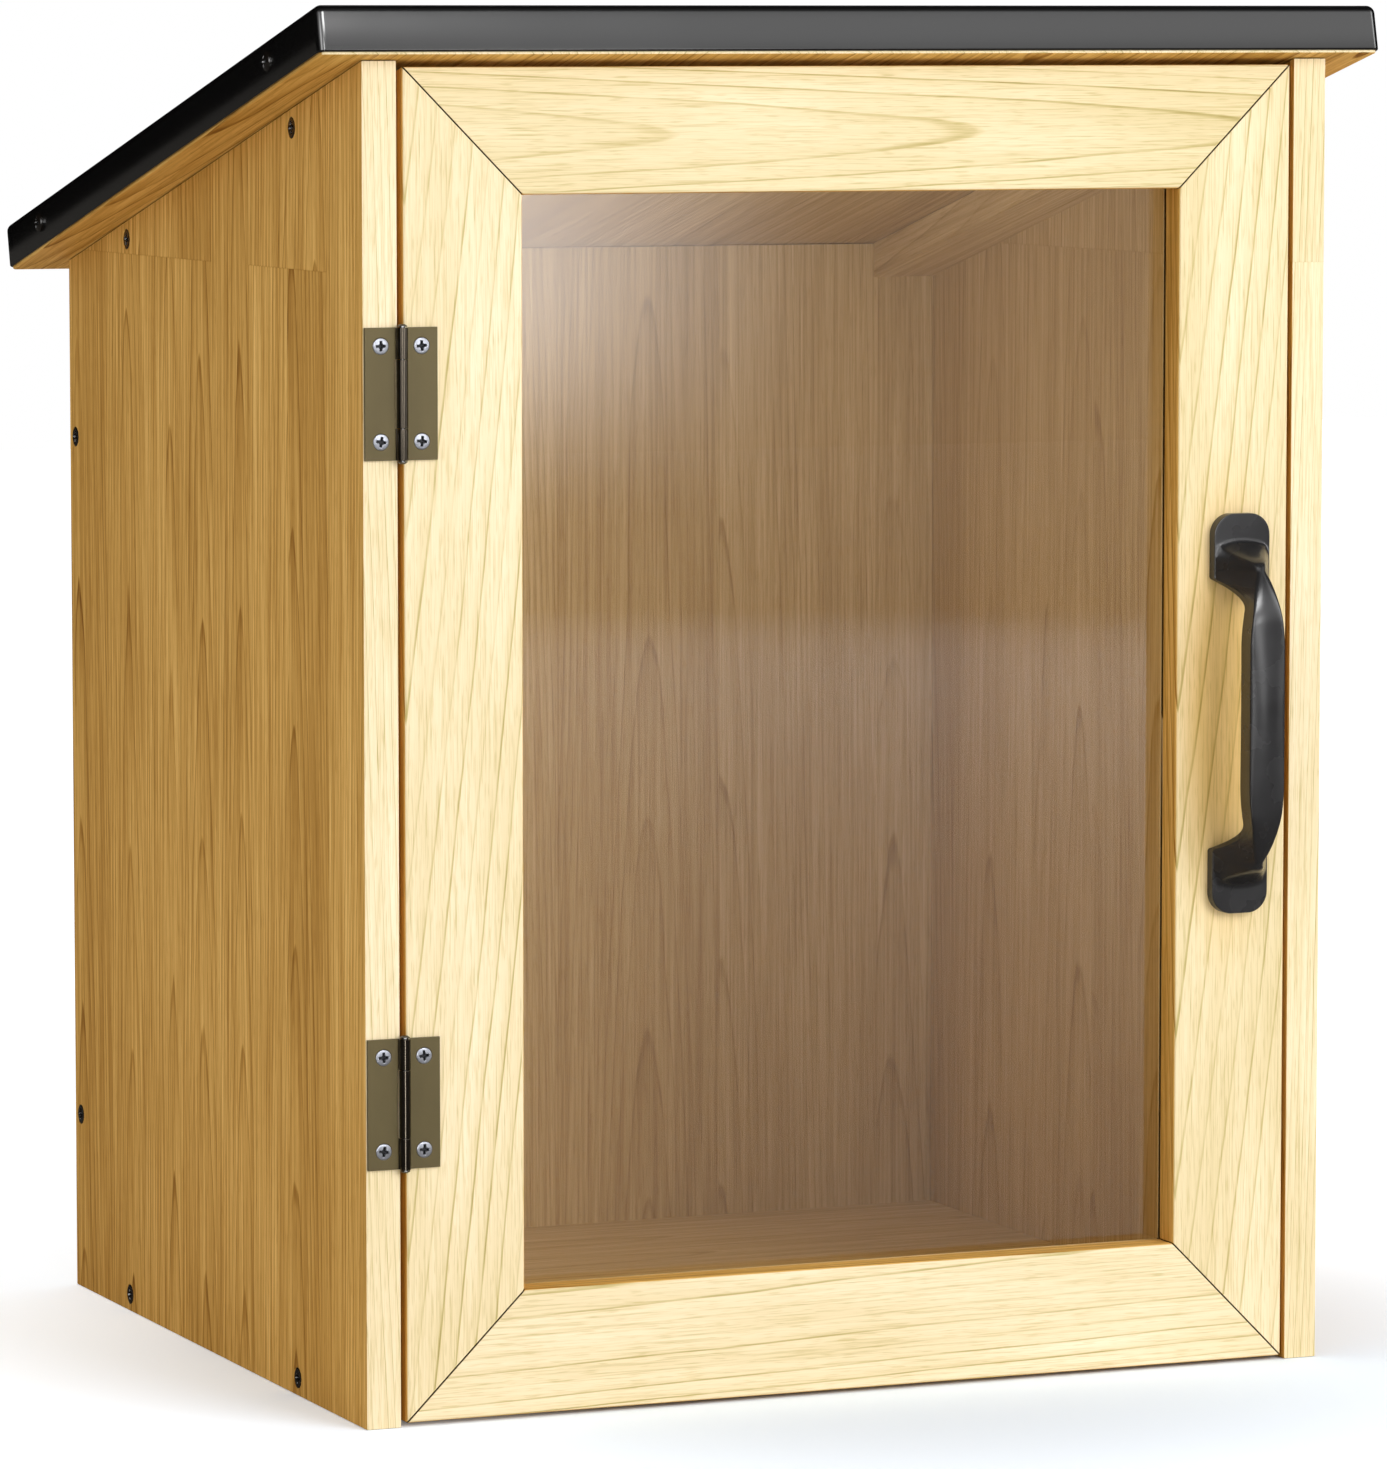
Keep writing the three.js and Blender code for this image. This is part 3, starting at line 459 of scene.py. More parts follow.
def pine(name, along, across, seed, pith=None, face=0.0, start=0.0, taper=0.03, ring=2.8, wander=0.8,
         extra=0.0, handle_shade=None, lamella=None, joint=None, joint_from=-200.0, slope=False):
    """Pine whose grain runs along one axis of the row frame. The pith lies at a distance across the
    board and a depth behind it, or at random in each strip behind the given face. Extra lays
    more stain on the whole board, and handle_shade gives the middle and half size of a golden patch
    of painted shade. A lamella width glues the board up from strips, and a joint is the height where the
    strips change."""
    s = Shader(name)
    coordinates = s.node("ShaderNodeTexCoord").outputs
    millimetres = s.zoomed(coordinates["Object"], 1 / MM)
    place = millimetres
    if slope:
        turn = {"Vector": place, "Angle": ROOF_SLOPE}
        place = s.node("ShaderNodeVectorRotate", turn, rotation_type="X_AXIS").outputs[0]
    parts = s.separate(place)
    through = next(axis for axis in "XYZ" if axis not in (along, across))
    u = parts[AXES[across]]
    v = parts[AXES[through]]
    w = parts[AXES[along]]

    local, strip, seam = u, float(seed), 0.0
    if lamella:
        local, strip, seam = glued_strips(s, u, w, seed, lamella, joint, joint_from)
    chance, colours = s.random(strip)
    shift = s.zoomed(colours, STRIP_SHIFT)
    shift_u, shift_v, shift_w = s.separate(shift)
    grain = s.vector("ADD", s.combine(local, v, w), shift)

    # Growth rings are the distance from the pith, which wanders and tapers along the grain.
    if pith:
        pith_u, pith_v = pith
        climb = s.plus(w, start / taper)
        depth = v
    else:
        pith_u = s.plus(s.times(shift_u, PITH_ACROSS_SHARE), PITH_ACROSS)
        pith_v = s.plus(s.times(shift_v, PITH_BEHIND_SHARE), PITH_BEHIND)
        climb = s.plus(w, shift_w)
        depth = s.unsigned(s.minus(s.unsigned(v), face))
    radius = s.length(s.minus(local, pith_u), s.plus(depth, pith_v))
    sweep = s.grain_noise(grain, "sweep")
    ripple = s.grain_noise(grain, "ripple")
    wandering = [(sweep, wander * SWEEP_REACH), (ripple, wander * RIPPLE_REACH)]
    reach = s.total((radius, 1.0), *wandering, (climb, taper))
    late, line = growth_rings(s, reach, grain, seed, ring)

    # Faces that look forward in the row frame take the pale tone, painted light, unless they are inside.
    normal = s.separate(coordinates["Normal"])
    sideways, backways, _ = s.separate(s.vector("ABSOLUTE", millimetres))
    inside = s.math("LESS_THAN", sideways, INSIDE_HALF_WIDTH)
    inside = s.times(inside, s.math("LESS_THAN", backways, INSIDE_HALF_DEPTH))
    front = s.fit(s.times(normal[1], -1.0), *FRONT_SPAN, smooth=True)
    front = s.times(front, s.minus(1.0, inside))
    bare = s.mix(front, s.mix(inside, SIDE_TONE, INNER_TONE), FRONT_TONE)

    fibre = s.grain_noise(grain, "fibre")
    marks = fine_marks(s, grain, front, inside)
    marks |= {"late": late, "line": line, "fibre": s.fit(fibre, *FIBRE_SPAN), "seam": seam}
    calm = s.fit(inside, 0.0, 1.0, 1.0, INSIDE_RINGS_SHARE)
    side_marks = marks | {"late": s.times(late, calm), "line": s.times(line, calm)}
    side_marks["strip"] = chance if lamella else 0.0
    on_side = s.total(*[(side_marks[mark], weight) for mark, weight in SIDE_LAYERS.items()])
    on_side = s.minus(on_side, s.fit(inside, 0.0, 1.0, SIDE_CLEARED, INSIDE_CLEARED))
    on_side = s.times(on_side, s.fit(inside, 0.0, 1.0, 1.0, INSIDE_MARKS_SHARE))
    on_front = s.total(*[(marks[mark], weight) for mark, weight in FRONT_LAYERS.items()])
    layers = s.choose(front, on_side, s.minus(on_front, FRONT_CLEARED))
    layers = s.plus(layers, extra)
    shares = [s.fit(front, 0.0, 1.0, *pair) for pair in zip(SIDE_STAIN, FRONT_STAIN)]
    kept = [s.math("POWER", share, layers) for share in shares]
    colour = s.mix(1.0, bare, s.combine(*kept), blend="MULTIPLY")
    # Painted shade: the wood round the handle is turned a deeper gold.
    if handle_shade:
        colour = painted_handle_shade(s, colour, front, u, w, handle_shade)
    if not slope:
        # Cut ends: the end grain's tone with painted shade of the gaps between parts.
        ends = s.fit(s.unsigned(normal[AXES[along]]), *END_SPAN)
        colour = s.mix(s.times(ends, END_STRENGTH), colour, END_GRAIN_AND_GAP_SHADE)

    relief = s.total((fibre, FIBRE_RELIEF), (seam, -SEAM_RELIEF), (marks["pores"], -PORE_RELIEF))
    return s.surface(
        {
            "Base Color": colour,
            "Roughness": s.fit(fibre, *FIBRE_SPAN, *WOOD_ROUGHNESS),
            "Specular IOR Level": WOOD_SPECULAR,
            "Normal": s.bump(relief, WOOD_RELIEF * MM),
        }
    )


# Most noise lies within this span.
NOISE_SPAN = (0.3, 0.7)

# Finishes drift in tone between these shares, in clouds of this many waves a metre.
TINT_SPAN = (0.93, 1.05)
CLOUD_WAVES = 60.0


def tinted(s, colour, tint):
    return s.mix(1.0, colour, s.combine(tint, tint, tint), blend="MULTIPLY")


def plain(name, colour, roughness, metallic=0.0, specular=0.5, grain=0.0, scale=1.0, spread=0.06):
    """A painted, plated or moulded finish: an even colour whose roughness drifts, with a fine bump."""
    s = Shader(name)
    place = s.node("ShaderNodeTexCoord").outputs["Object"]
    cloud = s.noise(s.zoomed(place, CLOUD_WAVES), detail=3.0)
    pebble = s.noise(s.zoomed(place, scale / MM))
    return s.surface(
        {
            "Base Color": tinted(s, colour, s.fit(cloud, *NOISE_SPAN, *TINT_SPAN)),
            "Metallic": metallic,
            "Roughness": s.fit(cloud, *NOISE_SPAN, roughness - spread, roughness + spread),
            "Specular IOR Level": specular,
            "Normal": s.bump(pebble, grain * MM),
        }
    )


# The coating is glossy on the folded sides. Where it faces up by these shares it is dulled.
COATING_TONE = srgb(14, 14, 15)
DUSTY_TONE = srgb(27, 27, 28)
COATING_ROUGHNESS = (0.13, 0.17)
COATING_DULLED = 0.4
COATING_SPECULAR = 0.8
COATING_RELIEF = 0.003
UPWARD_SPAN = (0.8, 0.95)
DUST_SPAN = (0.45, 0.7)
CLOUDS_SHARE = 0.5

# Waves per millimetre of the coating's clouds, dust and bumps.
COATING_CLOUDS = 0.02
COATING_DUST = 0.7
COATING_PEBBLE = 1.6


def coated_sheet():
    """Black powder coat, glossy on the folded sides and dulled by the weather on top."""
    s = Shader("black_coating")
    coordinates = s.node("ShaderNodeTexCoord").outputs
    place = s.zoomed(coordinates["Object"], 1 / MM)
    top = s.fit(s.separate(coordinates["Normal"])[2], *UPWARD_SPAN, smooth=True)
    cloud = s.fit(s.noise(s.zoomed(place, COATING_CLOUDS), detail=4.0), *NOISE_SPAN)
    dust = s.fit(s.noise(s.zoomed(place, COATING_DUST), detail=3.0), *DUST_SPAN)
    pebble = s.noise(s.zoomed(place, COATING_PEBBLE))
    weathered = s.times(top, s.plus(s.times(cloud, CLOUDS_SHARE), dust))
    return s.surface(
        {
            "Base Color": s.mix(weathered, COATING_TONE, DUSTY_TONE),
            "Roughness": s.plus(s.fit(cloud, 0.0, 1.0, *COATING_ROUGHNESS), s.times(top, COATING_DULLED)),
            "Specular IOR Level": COATING_SPECULAR,
            "Normal": s.bump(pebble, COATING_RELIEF * MM),
        }
    )


# The hinges' leaves are olive, and within these millimetres of the axis are the knuckles, darker
# and fully metallic. Next to the knuckles a leaf is painted a little lighter, a painted highlight.
LEAF_TONE = srgb(93, 83, 55)
KNUCKLE_TONE = srgb(72, 66, 58)
KNUCKLE_SPAN = (2.1, 2.5)
LEAF_BRIGHTER_SPAN = (2.5, 4.2)
LEAF_BRIGHTER = 1.18
LEAF_SPECULAR = 0.3
LEAF_RELIEF = 0.006

# Waves per millimetre of the leaves' clouds, for each direction, and of their bumps.
LEAF_CLOUDS = (0.12, 0.12, 0.05)
LEAF_PEBBLE = 3.0

# Values for the knuckles and then for the leaves.
HINGE_METALLIC = (1.0, 0.25)
HINGE_ROUGHNESS = (0.15, 0.45)


def plated_leaf():
    """Olive bronze plate whose knuckles, round the hinge's axis, are darker, with a painted highlight on
    the plate beside them.
    """
    s = Shader("bronze_plating")
    place = s.zoomed(s.node("ShaderNodeTexCoord").outputs["Object"], 1 / MM)
    off_axis = s.unsigned(s.minus(s.separate(place)[0], HINGE_AXIS))
    plate = s.fit(off_axis, *KNUCKLE_SPAN)
    cloud = s.noise(s.scaled(place, *LEAF_CLOUDS), detail=3.0)
    pebble = s.noise(s.zoomed(place, LEAF_PEBBLE))
    # Painted highlight: the leaf is lighter next to the knuckles.
    near = s.fit(off_axis, *LEAF_BRIGHTER_SPAN, LEAF_BRIGHTER, 1.0, smooth=True)
    tint = s.times(s.fit(cloud, *NOISE_SPAN, *TINT_SPAN), near)
    return s.surface(
        {
            "Base Color": s.mix(plate, KNUCKLE_TONE, tinted(s, LEAF_TONE, tint)),
            "Metallic": s.fit(plate, 0.0, 1.0, *HINGE_METALLIC),
            "Roughness": s.fit(plate, 0.0, 1.0, *HINGE_ROUGHNESS),
            "Specular IOR Level": LEAF_SPECULAR,
            "Normal": s.bump(pebble, LEAF_RELIEF * MM),
        }
    )


def clear_pane():
    """Thin glazing that lets the lamps through to what is behind it."""
    s = Shader("clear_pane")
    glass = {"Base Color": srgb(246, 240, 234), "Roughness": 0.0, "IOR": 1.45, "Transmission Weight": 1.0}
    glass = s.node("ShaderNodeBsdfPrincipled", glass)
    open_air = s.node("ShaderNodeBsdfTransparent", {"Color": srgb(250, 248, 244)})
    path = s.node("ShaderNodeLightPath").outputs
    passes = s.math("MAXIMUM", path["Is Shadow Ray"], path["Is Diffuse Ray"])
    both = s.node("ShaderNodeMixShader", {0: passes, 1: glass.outputs[0], 2: open_air.outputs[0]})
    return s.finish(both.outputs[0])


def wear(obj, material):
    obj.data.materials.clear()
    obj.data.materials.append(material)
    return obj


def smoothing(name, degrees):
    """A modifier's node group that shades edges flatter than an angle as smooth."""
    group = bpy.data.node_groups.new(name, "GeometryNodeTree")
    group.interface.new_socket("Geometry", in_out="INPUT", socket_type="NodeSocketGeometry")
    group.interface.new_socket("Geometry", in_out="OUTPUT", socket_type="NodeSocketGeometry")
    start = group.nodes.new("NodeGroupInput")
    end = group.nodes.new("NodeGroupOutput")
    angle = group.nodes.new("GeometryNodeInputMeshEdgeAngle")
    compare = group.nodes.new("FunctionNodeCompare")
    compare.operation = "LESS_THAN"
    compare.inputs[1].default_value = math.radians(degrees)
    edges = group.nodes.new("GeometryNodeSetShadeSmooth")
    edges.domain = "EDGE"
    faces = group.nodes.new("GeometryNodeSetShadeSmooth")
    group.links.new(angle.outputs[0], compare.inputs[0])
    group.links.new(start.outputs[0], faces.inputs[0])
    group.links.new(faces.outputs[0], edges.inputs[0])
    group.links.new(compare.outputs[0], edges.inputs["Shade Smooth"])
    group.links.new(edges.outputs[0], end.inputs[0])
    return group


# Edges flatter than the smooth angle are shaded smooth, and edges sharper than the bevel's angle are
# rounded. Faces that lie in one plane are joined first, and points closer than the weld's gap.
SMOOTH_ANGLE = 32
BEVEL_ANGLE = 40
BEVEL_SEGMENTS = 2
PLANE_ANGLE = 0.3
WELD_GAP = 0.01
SMOOTH_GROUP = smoothing("smooth_by_angle", SMOOTH_ANGLE)


def soften(obj, width):
    """Rounds a board's or a plate's hard edges."""
    weld = obj.modifiers.new("weld", "WELD")
    weld.merge_threshold = WELD_GAP * MM
    flatten = obj.modifiers.new("flatten", "DECIMATE")
    flatten.decimate_type = "DISSOLVE"
    flatten.angle_limit = math.radians(PLANE_ANGLE)
    bevel = obj.modifiers.new("bevel", "BEVEL")
    bevel.width = width * MM
    bevel.segments = BEVEL_SEGMENTS
    bevel.limit_method = "ANGLE"
    bevel.angle_limit = math.radians(BEVEL_ANGLE)
    bevel.use_clamp_overlap = False
    bevel.miter_outer = "MITER_ARC"
    smooth = obj.modifiers.new("smooth", "NODES")
    smooth.node_group = SMOOTH_GROUP
    flat = obj.modifiers.new("flat", "WEIGHTED_NORMAL")
    flat.weight = 100
    flat.keep_sharp = True


# Points closer than this are one, and edges sharper than these degrees aren't shaded smooth.
MERGE_GAP = 0.0005
COVER_SHARP = 35
HANDLE_SHARP = 40
SCREW_SHARP = 30


def new_piece(name, points, faces, material, body, matrix, sharp):
    """A closed mesh from points in millimetres, moved by a matrix into the row frame."""
    mesh = bpy.data.meshes.new(name)
    mesh.from_pydata([(matrix @ Vector(p)) * MM for p in points], [], faces)
    work = bmesh.new()
    work.from_mesh(mesh)
    bmesh.ops.remove_doubles(work, verts=work.verts, dist=MERGE_GAP * MM)
    bmesh.ops.recalc_face_normals(work, faces=work.faces)
    work.to_mesh(mesh)
    work.free()
    mesh.shade_smooth()
    mesh.set_sharp_from_angle(angle=math.radians(sharp))
    mesh.materials.append(material)
    obj = bpy.data.objects.new(name, mesh)
    bpy.context.scene.collection.objects.link(obj)
    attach(obj, body)
    return obj


def loft_faces(rings, count):
    """Faces over rings of points, numbered ring by ring, with an n-gon at each end."""
    faces = []
    for r in range(rings - 1):
        for i in range(count):
            j = (i + 1) % count
            low = r * count
            high = low + count
            faces.append((low + i, low + j, high + j, high + i))
    faces.append(tuple(reversed(range(count))))
    faces.append(tuple(range((rings - 1) * count, rings * count)))
    return faces


def placed(point, normal, turn):
    """A matrix in millimetres that puts a local +Z along a direction, from a point."""
    rotation = Vector(normal).to_track_quat("Z", "Y").to_matrix().to_4x4()
    return Matrix.Translation(point) @ rotation @ Matrix.Rotation(turn, 4, "Z")


def node_box(name):
    """A node's lowest and highest corner in millimetres."""
    low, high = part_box(name)
    return low / MM, high / MM


# Finishes
black_coating = coated_sheet()
black_screw = plain("black_screw", srgb(22, 18, 15), 0.24, specular=0.7, grain=0.01, scale=2.0)
bronze = plated_leaf()
dark_bronze = plain("bronze_pin", srgb(24, 21, 17), 0.15, specular=0.9, grain=0.004, scale=3.0)
zinc = plain("zinc_screw", srgb(158, 161, 170), 0.3, metallic=0.7, grain=0.006, scale=3.0)
# Painted shade: the cross recesses of the screw heads are painted dark.
recess = plain("painted_recess_shade", srgb(22, 23, 27), 0.5, metallic=0.3, grain=0.01, scale=4.0)
satin_black = plain("satin_black", srgb(36, 36, 38), 0.26, specular=0.5, grain=0.008, scale=1.2)
white_plastic = plain("white_plastic", srgb(226, 222, 212), 0.45, grain=0.01, scale=1.0)
bright_steel = plain("bright_steel", srgb(170, 172, 176), 0.3, metallic=0.95, grain=0.008, scale=2.0)


# Distances from the middle to the faces that the strips' piths lie behind, in millimetres, and the
# height where the side panels' strips are joined.
SIDE_FACE = 202.5
BACK_FACE = 163.5
ROOF_FACE = 463.2
STRIP_JOINT = 438.5

# How far the golden patch of painted shade lies to the left of the handle, and its half height as a share
# of it.
SHADE_ASIDE = 4
SHADE_HEIGHT_SHARE = 0.6

# How much the edges are rounded.
BOARD_EDGE = 0.5
THIN_BOARD_EDGE = 0.25
CATCH_EDGE = 0.3
LEAF_EDGE = 0.15


def dress_boards():
    """Every board keeps its frame node and gets its own cut of pine, with its edges softened."""
    low, high = node_box("pull_handle")
    middle = (low + high) / 2
    # The patch of painted shade round the handle.
    handle_shade = (middle.x - SHADE_ASIDE, middle.z, high.x - low.x, (high.z - low.z) * SHADE_HEIGHT_SHARE)
    panel = dict(along="Z", across="Y", lamella=44.5, joint=STRIP_JOINT, face=SIDE_FACE)
    cleat = dict(along="Y", across="Z", pith=(380, 120), extra=-0.3, slope=True)
    stile = dict(along="Z", across="X", taper=-0.06, ring=4.0, wander=0.5)
    rail = dict(along="X", across="Z", ring=4.0, wander=0.5)
    upright_bead = dict(along="Z", across="X")
    level_bead = dict(along="X", across="Z")
    cuts = {
        "left_side_panel": dict(seed=3, joint_from=-150.0, **panel),
        "right_side_panel": dict(seed=8, **panel),
        "back_panel": dict(along="Z", across="X", lamella=75.4, seed=5, face=BACK_FACE),
        "floor_panel": dict(along="X", across="Y", lamella=63.0, seed=6),
        "left_roof_cleat": dict(seed=11, **cleat),
        "right_roof_cleat": dict(seed=12, **cleat),
        "roof_board": dict(along="Y", across="X", lamella=74.0, seed=14, face=ROOF_FACE, slope=True),
        "left_stile": dict(seed=21, pith=(-300, 400), **stile),
        # The right stile carries the painted shade round the handle.
        "right_stile": dict(seed=22, pith=(30, 420), extra=0.15, handle_shade=handle_shade, **stile),
        "top_rail": dict(seed=23, pith=(490.6, 197.5), start=4.5, extra=0.3, **rail),
        "bottom_rail": dict(seed=24, pith=(90, 260), taper=0.02, **rail),
        "left_glazing_bead": dict(seed=31, pith=(-290, 240), **upright_bead),
        "right_glazing_bead": dict(seed=32, pith=(20, 240), **upright_bead),
        "top_glazing_bead": dict(seed=33, pith=(380, 240), **level_bead),
        "bottom_glazing_bead": dict(seed=34, pith=(160, 240), **level_bead),
    }
    for name, cut in cuts.items():
        wear(nodes[name], pine(f"pine_{name}", **cut))
        thin = "bead" in name or "cleat" in name
        soften(nodes[name], THIN_BOARD_EDGE if thin else BOARD_EDGE)


def dress_fittings():
    wear(nodes["glass_pane"], clear_pane())
    for name in ("catch_housing", "catch_magnet", "catch_keeper"):
        wear(nodes[name], white_plastic if name == "catch_housing" else bright_steel)
        soften(nodes[name], CATCH_EDGE)
    for hinge in ("upper_hinge", "lower_hinge"):
        for leaf in ("frame_leaf", "door_leaf"):
            wear(nodes[f"{hinge}_{leaf}"], bronze)
            soften(nodes[f"{hinge}_{leaf}"], LEAF_EDGE)
        wear(nodes[f"{hinge}_pin"], dark_bronze)


def slab_ring(half_x, front, rear, radius, inset, z, steps):
    """A rounded rectangle, drawn in by an inset towards the centres of its corners."""
    points = []
    middle = (front + rear) / 2
    half_y = (rear - front) / 2
    for corner in range(4):
        sign_x = 1 if corner in (0, 3) else -1
        sign_y = 1 if corner < 2 else -1
        for step in range(steps + 1):
            angle = (step / steps + corner) * QUARTER
            x = sign_x * (half_x - radius) + (radius - inset) * math.cos(angle)
            y = sign_y * (half_y - radius) + (radius - inset) * math.sin(angle)
            points.append((x, middle + y, z))
    return points


def roof_cover():
    """The sheet tray over the roof board, with smooth bends and a thin open rim."""
    steps = COVER_STEPS
    skins = []
    for inset in (0.0, COVER_SHEET):
        radius = COVER_BEND - inset
        top = COVER_TOP - inset
        size = (COVER_HALF_WIDTH - inset, COVER_FRONT + inset, COVER_REAR - inset, radius)
        rings = []
        for step in range(steps):
            angle = step / steps * QUARTER
            drawn = COVER_CURL * (1 - math.sin(angle))
            rings.append(slab_ring(*size, drawn, COVER_LIFT + COVER_CURL * (1 - math.cos(angle)), steps))
        for step in range(steps + 1):
            angle = step / steps * QUARTER
            drawn = radius * (1 - math.cos(angle))
            rings.append(slab_ring(*size, drawn, top - radius * (1 - math.sin(angle)), steps))
        skins.append(rings)
    outer, inner = skins
    rings = list(reversed(inner)) + outer
    points = [p for ring in rings for p in ring]
    faces = loft_faces(len(rings), len(outer[0]))
    turn = Matrix.Translation(ROOF_PIVOT) @ Matrix.Rotation(-ROOF_SLOPE, 4, "X")
    cover = new_piece(
        "folded_roof_cover", points, faces, black_coating, "cabinet", turn, COVER_SHARP
    )
    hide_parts("roof_cover")


def progress(value, start, end):
    return min(1.0, max(0.0, (value - start) / (end - start)))


def eased(value, start, end):
    t = progress(value, start, end)
    return t * t * (3 - 2 * t)


def rising(value, start, end):
    return math.sin(progress(value, start, end) * QUARTER)


def blend_of(start, end, share):
    return start + (end - start) * share


def handle_front(from_end):
    """How far the handle's front edges stand off the door at a distance from its nearer end."""
    h = HANDLE
    neck = eased(from_end, h["heel"], h["shoulder"])
    grip = rising(from_end, h["rise_start"], h["rise_end"])
    neck_rise = (h["front_at_shoulder"] - h["pad_thickness"]) * neck
    return h["pad_thickness"] + neck_rise + (h["front_at_middle"] - h["front_at_shoulder"]) * grip


def handle_flank(from_end):
    """One side of the section there, from the corner at the back, round the pad's rim, over the
    neck's foot, to the front edge. On the grip it runs straight."""
    h = HANDLE
    middle = h["length"] / 2
    to_pad = 1 - progress(from_end, 0, h["end_radius"])
    pad_half = h["pad_width"] / 2 - h["end_radius"] * (1 - math.sqrt(1 - to_pad * to_pad))
    opening = rising(from_end, h["opening_start"], h["opening_end"]) ** GRIP_POWER
    narrowing = eased(from_end, h["heel"], h["waist"])
    neck_half = blend_of(pad_half * NECK_WIDTH, h["waist_width"] / 2, narrowing)
    front_half = neck_half + (h["grip_width"] - h["waist_width"]) / 2 * opening
    up_back = rising(from_end, h["pad_length"], h["elbow"])
    back_rise = (h["back_at_middle"] - h["back_at_elbow"]) * rising(from_end, h["elbow"], middle)
    foot_half = blend_of(pad_half, front_half - h["back_inset"], up_back)
    face_half = foot_half - h["pad_rim"]
    foot = Vector((foot_half, h["back_at_elbow"] * up_back + back_rise))
    edge = Vector((front_half, handle_front(from_end)))
    wall = foot.y + h["pad_thickness"]
    foot_share = blend_of(NECK_FOOT, 1, eased(from_end, h["heel"], h["pad_face_end"]))
    neck_foot = Vector((blend_of(front_half, face_half, foot_share), wall))
    on_pad = [
        Vector((foot_half, wall - h["pad_rim"])),
        Vector((foot_half, wall)),
        Vector((face_half, wall)),
        neck_foot.lerp(edge, NECK_FLANK),
    ]
    on_grip = [foot.lerp(edge, share) for share in GRIP_FLANK]
    return [foot] + [pad.lerp(grip, up_back) for pad, grip in zip(on_pad, on_grip)] + [edge]


def bent(start, corner, end):
    """Points of a smooth bend that leaves its start and meets its end towards the same corner."""
    shares = [step / BEND_STEPS for step in range(BEND_STEPS + 1)]
    return [start.lerp(corner, t).lerp(corner.lerp(end, t), t) for t in shares]


def handle_ring(z):
    """One ring of the handle, with the door at y = 0, rounded front edges and a crowned front."""
    h = HANDLE
    from_end = h["length"] / 2 - abs(z)
    foot, lower, rim, inner, upper, edge = handle_flank(from_end)
    crown = h["crown"] * eased(from_end, h["heel"], h["length"] / 2)

    def crowned(at):
        swell = 1 - at * at
        return Vector((at * edge.x, handle_front(from_end + h["heel_arc"] * swell) + crown * swell))

    cut = min(h["edge"], edge.x * EDGE_WIDTH_SHARE, (edge - upper).length * EDGE_FLANK_SHARE)
    into = 1 - cut / edge.x
    below = edge + (upper - edge).normalized() * cut
    right = [foot] + bent(lower, rim, inner) + [upper]
    right += bent(below, edge, crowned(into))
    front = [crowned(into * (1 - 2 * step / CROWN_STEPS)) for step in range(1, CROWN_STEPS)]
    outline = right + front + [Vector((-p.x, p.y)) for p in reversed(right)]
    return [(p.x, -p.y, z) for p in outline]


def pull_handle():
    """The cast handle, drawn with the frame's own sections but many more of them."""
    h = HANDLE
    stations = [h["end_radius"] * (1 - math.cos(i / END_STEPS * QUARTER)) for i in range(END_STEPS)]
    stations[0] = h["tip"]
    stations += [blend_of(h["end_radius"], h["length"] / 2, i / GRIP_STEPS) for i in range(GRIP_STEPS + 1)]
    lower = [s - h["length"] / 2 for s in stations]
    heights = lower + [-z for z in reversed(lower[:-1])]
    rings = [handle_ring(z) for z in heights]
    points = [p for ring in rings for p in ring]
    faces = loft_faces(len(rings), len(rings[0]))
    low, high = node_box("pull_handle")
    place = Matrix.Translation(((low.x + high.x) / 2, high.y, (low.z + high.z) / 2))
    handle = new_piece(
        "cast_pull_handle", points, faces, satin_black, "door", place, HANDLE_SHARP
    )
    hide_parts("pull_handle")


# A screw head's mesh, in sides and circles, and its form as shares of the head's radius.
SCREW_SIDES = 96
SCREW_CIRCLES = 32
DOME_SHARE = 0.85
BRIM_START_SHARE = 0.93
BRIM_DROP_SHARE = 0.05
SHANK_SHARE = 0.5
RECESS_DEPTH_SHARE = 0.5
RECESS_REACH_SHARE = 0.66
RECESS_ARM_SHARE = 0.15

# Where the recess's walls, ends and heart slope down, as shares of its arm or of its reach.
WALL_SHARES = (0.85, 1.2)
END_SHARE = 0.82
HEART_SHARES = (1.5, 2.4)

# The depth of a head's edge and the least depth of its seat, in millimetres.
HEAD_EDGE = 0.3
LEAST_SEAT = 0.4


def recess_share(x, y, share):
    """How far a cross recess goes down there, from 0 to 1, for a place given in head radii."""
    arm = RECESS_ARM_SHARE
    wall_start, wall_end = WALL_SHARES
    heart_start, heart_end = HEART_SHARES
    wall = 1 - progress(min(abs(x), abs(y)), arm * wall_start, arm * wall_end)
    end = 1 - progress(share, RECESS_REACH_SHARE * END_SHARE, RECESS_REACH_SHARE)
    heart = 1 - progress(share, arm * heart_start, arm * heart_end)
    return max(wall * end, heart)


